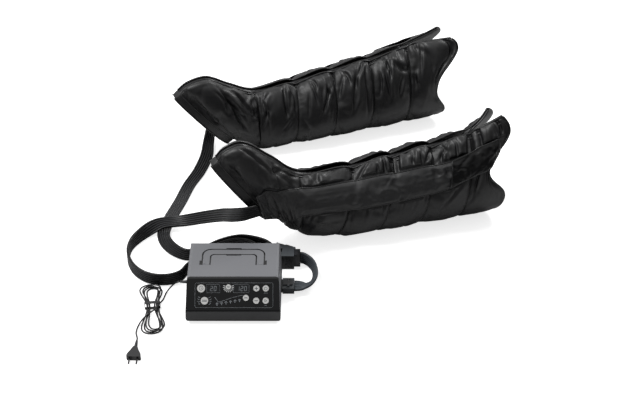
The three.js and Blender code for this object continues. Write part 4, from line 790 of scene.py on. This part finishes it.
real = add_node(spread, "GeometryNodeRealizeInstances", {0: pieces})
coated = add_node(spread, "GeometryNodeSetMaterial", {"Geometry": real, "Material": start["Finish"]})
add_node(spread, "NodeGroupOutput", {0: coated})


def pieces_along(name, points, pitch_mm, size_mm, finish):
    """Stitches or zip teeth along a line of points in metres, as one real mesh."""
    line = bpy.data.meshes.new(name)
    line.from_pydata(points.tolist(), [(i, i + 1) for i in range(len(points) - 1)], [])
    piece = added(line)
    modifier = piece.modifiers.new("spread", "NODES")
    modifier.node_group = spread
    modifier[sockets["Pitch"]] = pitch_mm / 1000
    modifier[sockets["Size"]] = [x / 1000 for x in size_mm]
    modifier[sockets["Finish"]] = finish
    live = piece.evaluated_get(bpy.context.evaluated_depsgraph_get())
    mesh = bpy.data.meshes.new_from_object(live)
    piece.modifiers.remove(modifier)
    piece.data = mesh
    bpy.data.meshes.remove(line)
    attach(piece, "set")


STITCH_PITCH_MM, STITCH_MM = 4.2, (2.8, 0.7, 0.6)
thread = moulded("polyester_thread_grey", "#3a3a3e", 0.5, 0.4, 0.05)
for boot in boots:
    for seam in range(4, 9):
        weld = boot.line(seam, np.linspace(-0.985, 0.985, 150), -0.3, 0.0014)
        cord_along(f"{boot.name}_welded_seam_{seam - 3}", weld, 2.2, "boot_nylon", 6)
    for side, word in ((-1, "front"), (1, "rear")):
        s = np.concatenate([np.linspace(0.01, 8, 300), np.linspace(8, 8.985, 50)[1:]])
        cord_along(f"{boot.name}_zip_binding_{word}", boot.line(s, side * 0.997, 1.2), 5.0)
        cord_along(f"{boot.name}_zip_welt_{word}", boot.line(s, side * 0.935, 1.0), 3.4)
        pieces_along(f"{boot.name}_zip_stitches_{word}", boot.line(s, side * 0.968, 2.2),
                     STITCH_PITCH_MM, STITCH_MM, thread)
    p = np.linspace(-0.992, 0.992, 200)
    cord_along(f"{boot.name}_thigh_binding", boot.line(8.996, p, 0.0, 0.0026), 4.6)
    pieces_along(f"{boot.name}_thigh_stitches", boot.line(8.94, p, 4.2, 0.0012),
                 STITCH_PITCH_MM, STITCH_MM, thread)


# Zips: woven tape with moulded teeth, closed from the toe to the slider near the thigh's end and
# open above it, where each half runs up its own flap.
zip_weave = moulded("woven_zip_tape_black", "#101012", 0.7, 0.9, 0.15)
zip_tooth = moulded("moulded_zip_teeth_black", "#1a1a1c", 0.3, 0.6, 0.01)
TOOTH_PITCH_MM = 2.4
for boot in boots:
    def chain_line(s, lift):
        run = boot.ridge_at(s)
        run[..., 1] = boot.blend(3, s)
        along = np.gradient(run, axis=0) * (1, 0, 1)
        along /= np.linalg.norm(along, axis=1)[:, None]
        return boot.world(run + np.stack([-along[:, 2], 0 * s, along[:, 0]], axis=1) * lift)

    def flap_line(side, lift):
        s = np.linspace(7.98, 8.97, 60)
        run = boot.surface(s, side)[0] + np.array([0, -side * 5.0, lift])
        run[:, 2] -= boot.scallop * np.clip(1 - (s - 7.98) / 0.25, 0, 1) ** 2
        return boot.world(run)

    closed = np.concatenate([np.linspace(0.02, 5, 120), np.linspace(5, 8, 40)[1:]])
    joined = bmesh.new()
    for line, half in ((chain_line(closed, 0), 9), (flap_line(-1, 0), 4.2), (flap_line(1, 0), 4.2)):
        section = np.array([(-half, -2.2), (half, -2.2), (half, -1.2), (-half, -1.2)]) / 1000
        tape = swept("zip_tape", line, section)
        joined.from_mesh(tape)
        bpy.data.meshes.remove(tape)
    tapes = bpy.data.meshes.new(f"{boot.name}_zip_tapes")
    joined.to_mesh(tapes)
    joined.free()
    mount(added(tapes), zip_weave, "zip_tape", f"{boot.name}_zip")
    pieces_along(f"{boot.name}_zip_teeth", chain_line(closed[closed < 7.96], -0.1), TOOTH_PITCH_MM,
                 (1.5, 5.6, 2.0), zip_tooth)
    for side, word in ((-1, "front"), (1, "rear")):
        run = flap_line(side, -0.6) + np.array([0, side * -0.0024, 0])
        pieces_along(f"{boot.name}_zip_teeth_{word}", run, TOOTH_PITCH_MM, (1.3, 2.6, 1.7), zip_tooth)


# Hose sleeve: a long pocket of plainer nylon sewn over the boot's side, with the flat hose inside
# and bound edges. Where the maker's words were, the cloth is left bare.
sleeve_cloth = nylon("nylon_sleeve_black", "#0b0b0c", "#151517", 0.5, 26, 1.0)


def pocket(boot, name, stops, low, high, lift, swell_mm, crumple_mm, seed, end_reach=0.0, cut=0.0):
    """A flat pocket on the boot's outer side between two edges, each a share of the way up."""
    across = np.linspace(0, 1, 33)[None, :]
    share = low[:, None] + (high - low)[:, None] * across
    p = boot.outer * np.arccos(1 - 2 * share) / math.pi
    s = stops[:, None] - cut * ((stops - stops[0]) / (stops[-1] - stops[0]))[:, None]
    u, v = s * SEAM_STEP_MM, across * 70
    swell = np.sin(np.pi * across) ** 0.6 * swell_mm
    rim = np.minimum(1, np.minimum(across, 1 - across) / 0.12)
    rough = creased((u + 0.4 * v) / 30, v / 24, seed) * crumple_mm
    rough = rough + 2.6 * pressed_folds(u, v, seed, 16, (u.min(), u.max()), (0, 70), 0.8, (10, 26))
    rough = np.clip(rough * rim, -swell_mm - 1, 6)
    top, normal = boot.surface(s, p, lift[:, None])
    top = top + normal * (1.6 + swell + rough)[..., None]
    under = boot.surface(s, p, lift[:, None] - 0.6)[0]
    slant = end_reach * (1 - across) * np.clip(1 - np.arange(len(stops)) / 14, 0, 1)[:, None] ** 1.2
    top[..., 0] -= slant
    under[..., 0] -= slant
    top, under = boot.world(top), boot.world(under)
    outer, inner = (np.pad(grid, ((1, 1), (1, 1), (0, 0)), mode="edge") for grid in (top, under))
    outer[0], outer[-1], outer[:, 0], outer[:, -1] = inner[0], inner[-1], inner[:, 0], inner[:, -1]
    return faced_out(closed_mesh(name, outer, inner), weld=1e-7), top


for boot in boots:
    stops = np.linspace(boot.mouth[0], 8.6, 260)
    low, high = boot.sleeve_edges(stops)
    end = np.exp(-((stops - boot.mouth[0]) / 1.3) ** 2) + 0.8 * np.exp(-((stops - 7.2) / 0.4) ** 2)
    lift = 8.6 - 5 * np.clip((stops - 7.5) / 0.2, 0, 1)
    cover, top = pocket(boot, f"{boot.name}_sleeve_cover", stops, low, high, lift, swell_mm=5.5,
                        crumple_mm=5.0 + 5.5 * end[:, None], seed=900 if boot.name == "near" else 950,
                        end_reach=boot.mouth[1])
    mount(added(cover), sleeve_cloth, "sleeve_nylon", f"{boot.name}_hose_sleeve")
    for k, column in enumerate((0, -1)):
        cord_along(f"{boot.name}_sleeve_binding_{k + 1}", top[stops < 7.62, column], 3.4)
    cord_along(f"{boot.name}_sleeve_mouth_binding", top[0], 3.4)


# Thigh patch: a smooth glossy flap over the sleeve's upper end, sewn down on its bound edges.
patch_nylon = nylon("polyurethane_coated_patch_black", "#050506", "#0b0b0c", 0.3, 26, 2.2, shine=0.25)
for boot in boots:
    stops = np.linspace(7.42, 8.94, 92)
    low = np.interp(stops, (7.42, 7.8, 8.2, 8.94), (0.612, 0.656, 0.688, 0.69))
    high = np.interp(stops, (7.42, 7.9, 8.25, 8.94), (0.865, 0.89, 0.913, 0.915))
    lift = 15 - 4 * np.clip(stops - 8, 0, 1) ** 2
    across = np.linspace(0, 1, 33)[None, :]
    cut = 0.3 * across ** 1.3 + 0.3 * np.clip(1 - across / 0.2, 0, 1) ** 2
    patch, top = pocket(boot, f"{boot.name}_thigh_patch", stops, low, high, lift, swell_mm=1.5,
                        crumple_mm=5.0, seed=1200 if boot.name == "near" else 1250, cut=cut)
    mount(added(patch), patch_nylon, "sleeve_nylon")
    rim = np.vstack([top[:, 0], top[-1, 1:], top[::-1, -1][1:], top[0, ::-1][1:]])
    cord_along(f"{boot.name}_thigh_patch_binding", rim, 3.2)


# Control unit: injection moulded ABS, a grey cover over a dark base, with a glossy black panel.
# The base and the cover have a fine spark-eroded grain; the panel is polished. A button's place is
# its middle on the panel.
BUTTONS = {"timer": (-79, 58), "pressure": (-10.7, 61.8), "mode": (-70.5, 27.4), "chamber": (32.8, 34.6),
           "increase": (59, 58.1), "power": (82.4, 58.1), "decrease": (58.6, 27.4), "start": (82.2, 27.4)}


def dressed(finish, *nodes):
    """Gives CAD nodes their real finish."""
    for node in nodes:
        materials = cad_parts[node].data.materials
        materials.clear()
        materials.append(finish)


base_abs = moulded("moulded_abs_dark", "#2a2b2d", 0.46, 0.8, 0.03)
button_white = moulded("silicone_coated_white", "#f4f4f2", 0.38, 0.8, 0.01)
dressed(moulded("moulded_abs_grey", "#77787c", 0.5, 0.8, 0.03), "top_cover", "carry_handle")
dressed(base_abs, "base_shell", "air_socket", "valve_body", "unit_plug_latch")
dressed(moulded("polished_abs_black", "#07080a", 0.14, 2.0, 0.004, 0.5, 0.03),
        "front_fascia", "panel_overlay")
dressed(button_white, "valve_rotor", *(name + "_button" for name in BUTTONS))
dressed(moulded("foot_rubber", "#161616", 0.75), "foot_1", "foot_2", "foot_3", "foot_4", "outlet_duct")
dressed(flex_pvc, "cord_gland", "mains_plug", "hank_tie")


# Panel print: silk-screened lines, digits and marks on the overlay, and grey signs on the buttons.
# They are generic: a time and a pressure display, a leg with six chambers, plus, minus and power.
SLOPE, PANEL_Y, PANEL_Z = math.atan2(65, 54.5), -97, 40      # the panel's slope and its lower edge
DIGIT_BARS = {"a": (0, 2, 1, 2), "b": (1, 2, 1, 1), "c": (1, 1, 1, 0), "d": (0, 0, 1, 0),
              "e": (0, 1, 0, 0), "f": (0, 2, 0, 1), "g": (0, 1, 1, 1)}


def on_panel(across, up, lift):
    """A point of the sloping panel, from millimetres across, up the slope and off it."""
    return placed(across, PANEL_Y + up * math.cos(SLOPE) - lift * math.sin(SLOPE),
                  PANEL_Z + up * math.sin(SLOPE) + lift * math.cos(SLOPE))


def strokes(width, *lines):
    """One quad for each straight stretch of drawn lines, in millimetres."""
    quads = []
    for line in lines:
        for a, b in zip(np.array(line[:-1], float), np.array(line[1:], float)):
            way = (b - a) / max(np.linalg.norm(b - a), 1e-9) * width / 2
            side = np.array([-way[1], way[0]])
            quads.append([a - way + side, a - way - side, b + way - side, b + way + side])
    return quads


def arc(x, y, radius, start, stop, steps):
    return [(x + radius * math.cos(a), y + radius * math.sin(a))
            for a in np.radians(np.linspace(start, stop, steps))]


def rounded(x0, y0, x1, y1, radius):
    """A closed line round a rectangle with round corners."""
    left, right, low, high = x0 + radius, x1 - radius, y0 + radius, y1 - radius
    middles = ((right, high), (left, high), (left, low), (right, low))
    line = [spot for k, middle in enumerate(middles) for spot in arc(*middle, radius, 90 * k, 90 * k + 90, 5)]
    return line + line[:1]


def plates(name, quads, place, lift, depth, finish, slot, body="set"):
    """Thin printed plates, from a lift above their face down by a depth, moving with their body."""
    points, faces = [], []
    for quad in quads:
        k = len(points)
        points += [place(*spot, height) for height in (lift, lift - depth) for spot in quad]
        faces += [(k, k + 1, k + 2, k + 3), (k + 7, k + 6, k + 5, k + 4)]
        faces += [(k + i, k + 4 + i, k + 4 + (i + 1) % 4, k + (i + 1) % 4) for i in range(4)]
    mount(added(new_mesh(name, points, faces, smooth=False)), finish, slot, body=body)


def printed(name, quads, lift, finish, body="set"):
    """Ink on the panel or on a button."""
    plates(name, quads, on_panel, lift, 0.04, finish, "white_button", body)


def digit(x, lit, y=52.2, wide=5.2, half=5.5, trim=0.16, lean=0.08):
    """A seven-segment digit leaning a little; lit names its bars from a to g."""
    quads = []
    for key in lit:
        ax, ay, bx, by = np.multiply(DIGIT_BARS[key], (wide, half, wide, half))
        a = (x + ax + (bx - ax) * trim + lean * ay, y + ay + (by - ay) * trim)
        b = (x + bx - (bx - ax) * trim + lean * by, y + by - (by - ay) * trim)
        quads += strokes(1.5, [a, b])
    return quads


lines = strokes(0.55, rounded(-94.4, 10.2, 100.4, 71.8, 4))
lines += strokes(0.45, rounded(-65.6, 47.3, -32.6, 68, 1.5), rounded(1.8, 47.3, 40.6, 68, 1.5))
lines += strokes(0.8, [(-45.3, 35.2), (-35.6, 23.6), (-18, 29.2), (0, 35.6), (14, 39.2), (24.6, 40.4)])
lines += strokes(1.3, [(-44.9, 35.6), (-40.5, 30.4), (-38.2, 27)])
for k in range(6):
    x, y = -39.2 + k * 11.2, 15.5 + k * 1.9
    lines += strokes(1.6, [(x, y), (x, y + 4)])
    lines += strokes(1.1, [(x - 2.9, y + 3.6), (x, y + 7), (x + 2.9, y + 3.6)])
for side in (-1, 1):
    for dx, dy in ((12.6, 8.2), (14.2, 2.9), (14.2, -2.9), (12.6, -8.2)):
        x, y = BUTTONS["mode"][0] + side * dx, BUTTONS["mode"][1] + dy
        lines += strokes(1.3, [(x - 1.3, y - 0.5), (x + 1.3, y + 0.5)])
        lines += strokes(0.8, [(x + side * 2.6 - 0.5, y + 1.4), (x + side * 2.6 + 0.5, y + 1.9)])
lines += strokes(1.0, [(78.6, 46.6), (86.2, 46.6)], [(79.6, 15.8), (84.8, 15.8)])
printed("panel_lines", lines, 0.34, moulded("panel_ink_grey", "#9a9ea3", 0.5))
x, y = BUTTONS["pressure"]
bars = strokes(1.7, *(arc(x, y, 8.8, a, a, 1) + arc(x, y, 12.8, a, a, 1)
                      for a in (166 + k * 20.8 for k in range(11))))
printed("panel_pressure_bars", bars, 0.35, moulded("panel_ink_white", "#e9eaea", 0.5))
windows = [[(x0, 49), (x1, 49), (x1, 66.4), (x0, 66.4)] for x0, x1 in ((-64, -34.2), (3.4, 39))]
printed("panel_display_windows", windows, 0.33,
        moulded("display_window_smoke", "#16181b", 0.08, 2.0, 0.002, 0.5, 0.02))
shown_digits = ((-56.2, "abdeg"), (-47, "abcdef"), (10.6, "bc"), (19.6, "abdeg"), (28.6, "abcdef"))
printed("panel_display_digits", [quad for x, lit in shown_digits for quad in digit(x, lit)], 0.37,
        moulded("display_segment_grey", "#84888c", 0.35))
signs = {
    "timer": (0.9, arc(0, 0.8, 5, 0, 360, 20), [(0, 4), (0, 0.8), (2.4, -0.4)]),
    "pressure": (1, [(-3, 1), (3, 1)], [(-2, -1.2), (2, -1.2)]),
    "mode": (1.6, [(-5.6, 1.4), (5.6, 1.4)], [(-5.6, -1.4), (5.6, -1.4)]),
    "chamber": (2.2, [(-3, 0), (3, 0)]),
    "increase": (1.8, [(-3.4, 0), (3.4, 0)], [(0, -3.4), (0, 3.4)]),
    "decrease": (1.8, [(-3.6, 0), (3.6, 0)]),
    "power": (1.0, arc(0, -0.3, 3.6, 125, 415, 16), [(0, 4), (0, 0.6)]),
    "start": (1.1, [(-2.2, -3), (-2.2, 3), (3.2, 0), (-2.2, -3)]),
}
ink_sign = moulded("button_ink_grey", "#6d7074", 0.5)
for name, middle in BUTTONS.items():
    quads = [[spot + middle for spot in quad] for quad in strokes(*signs[name])]
    printed(f"{name}_button_sign", quads, 2.45, ink_sign, f"{name}_button")


# Handle surround: painted shade as black pieces, a strip over the gap between the handle and its
# pocket, boxes in the wells beside the pins and a liner in the finger recess, which are 0.3 mm proud of the
# pocket's own walls.
REAR, BAR, SPAN, FRONT, MIDDLE, CORNER, TOP = 66, 17, 137, 8, -2, 20, 105     # the folded handle
GAP, WALL = 1.9, 0.3                   # between the handle and its pocket, and of the liner
# The black of these pieces is painted shade, in the gap, the pin wells and the finger recess.
painted_shade_black = moulded("painted_shade_gap_black", "#050506", 0.6)


def handle_line(half, rear, radius, steps):
    """One edge of the handle's outline, up a leg, along the bar and down the other leg."""
    bends = arc(radius - half, rear - radius, radius, 180, 90, steps) \
        + arc(half - radius, rear - radius, radius, 90, 0, steps)
    return [(x + MIDDLE, y) for x, y in [(-half, FRONT)] + bends + [(half, FRONT)]]


def painted_shade_boxes(name, boxes):
    """Thin black boxes of painted shade, each from its low to its high corner in drawing millimetres."""
    made = bmesh.new()
    for box in boxes:
        corners = [made.verts.new(placed(*(box[i >> k & 1][k] for k in range(3)))) for i in range(8)]
        for face in ((0, 2, 3, 1), (4, 5, 7, 6), (0, 1, 5, 4), (2, 6, 7, 3), (0, 4, 6, 2), (1, 3, 7, 5)):
            made.faces.new([corners[i] for i in face])
    bmesh.ops.bevel(made, geom=list(made.edges), offset=0.00008, segments=1, affect="EDGES")
    mesh = bpy.data.meshes.new(name)
    made.to_mesh(mesh)
    made.free()
    mount(added(mesh), painted_shade_black, "dark_plastic")


outer = handle_line(SPAN / 2 + BAR / 2 + GAP, REAR + GAP, CORNER + GAP, 9)
inner = handle_line(SPAN / 2 - BAR / 2 - GAP, REAR - BAR - GAP, CORNER - BAR / 2 - GAP, 7)
# Painted shade: a black strip over the gap round the folded handle.
plates("handle_gap_painted_shade", strokes(3.2, outer, inner), placed, TOP + 0.05, 0.06, painted_shade_black, "dark_plastic")
leg = (SPAN + BAR) / 2
# Painted shade: black boxes in the wells beside the pins, and a black liner in the finger recess.
painted_shade_boxes("handle_pin_wells", [((MIDDLE + x0, FRONT - 1.2, TOP - 0.6), (MIDDLE + x1, FRONT + 15.5, TOP + 0.06))
                             for x0, x1 in ((-leg - 8.2, -leg - 0.6), (leg + 0.6, leg + 8.2))])
x0, x1, y0, y1, z0, z1 = MIDDLE - 19.5, MIDDLE + 19.5, 43, 72, 84.6, TOP + 0.04
painted_shade_boxes("finger_recess_liner", [
    ((x0, y0, z0), (x1, y1, z0 + WALL)), ((x0, y0, z0), (x0 + WALL, y1, 97.0)),
    ((x1 - WALL, y0, z0), (x1, y1, 97.0)), ((x0, y0, z0), (x1, y0 + WALL, z1)),
    ((x0, y1 - WALL, z0), (x1, y1, z1))])


# Hose fittings: the black splitter and plugs have fine gripping ribs all round, and the plug at
# the unit is grey like its hose, with a black latch.
def ribbed(name, colour, painted_highlight_top_mm, pitch_mm=4):
    """Moulded plastic with gripping ribs, shade painted dark in their grooves and a highlight painted paler
    on its top.
    """
    finish, tree = finish_named(name)
    place = add_node(tree, "ShaderNodeTexCoord").outputs["Object"]
    ribs = add_node(tree, "ShaderNodeTexWave", {
        "Vector": place, "Scale": 50 / pitch_mm, "Distortion": 0.0}, bands_direction="X").outputs["Fac"]
    cloud = add_node(tree, "ShaderNodeTexNoise", {"Vector": place, "Scale": 40.0})
    gloss = add_node(tree, "ShaderNodeMapRange", {"Value": cloud, "To Min": 0.39, "To Max": 0.51})
    # Painted shade: the grooves between the ribs are darkened to near black.
    tint = add_node(tree, "ShaderNodeMix", {"Factor": ribs, "A": "#050506", "B": colour}, data_type="RGBA")
    height = add_node(tree, "ShaderNodeSeparateXYZ", {0: place}).outputs["Z"]
    # Painted highlight: above the given height the plastic turns paler, as the light from above falls on the
    # top.
    top = add_node(tree, "ShaderNodeMapRange", {
        "Value": height, "From Min": (painted_highlight_top_mm - 1.6) / 1000, "From Max": (painted_highlight_top_mm - 0.8) / 1000})
    skin = add_node(tree, "ShaderNodeMix", {"Factor": top, "A": tint, "B": "#53575b"}, data_type="RGBA")
    relief = add_node(tree, "ShaderNodeBump", {"Strength": 0.8, "Distance": 0.0006, "Height": ribs})
    body = add_node(tree, "ShaderNodeBsdfPrincipled", {
        "Base Color": skin, "Roughness": gloss, "Normal": relief})
    add_node(tree, "ShaderNodeOutputMaterial", {"Surface": body})
    return finish


dressed(ribbed("ribbed_abs_black", "#2c2d30", 46), "hose_splitter")
dressed(ribbed("ribbed_plug_abs_black", "#242528", 45), "near_hose_plug", "far_hose_plug")
dressed(moulded("moulded_plug_grey", "#3d4145", 0.45, 1.0), "unit_hose_plug")


# Metal and board: nickel-plated sliders with lacquered black pulls, the pump's can, and the board
# behind the panel.
def metal(name, colour, roughness, mark_mm=0.4):
    """Plated metal with fine tumbling marks."""
    finish, tree = finish_named(name)
    place = add_node(tree, "ShaderNodeTexCoord").outputs["Object"]
    marks = add_node(tree, "ShaderNodeTexNoise", {"Vector": place, "Scale": 1000 / mark_mm, "Detail": 3.0})
    gloss = add_node(tree, "ShaderNodeMapRange", {
        "Value": marks, "To Min": roughness - 0.07, "To Max": roughness + 0.07})
    body = add_node(tree, "ShaderNodeBsdfPrincipled", {
        "Base Color": colour, "Metallic": 1.0, "Roughness": gloss})
    add_node(tree, "ShaderNodeOutputMaterial", {"Surface": body})
    return finish


dressed(metal("polished_nickel_plate", "#b9babd", 0.24), "near_zip_slider", "far_zip_slider")
dressed(moulded("lacquered_zinc_black", "#0c0c0e", 0.25), "near_zip_pull", "far_zip_pull")
dressed(metal("zinc_plated_can", "#8f9297", 0.35), "air_pump")
dressed(moulded("solder_mask_green", "#1f5b3a", 0.4), "control_board")
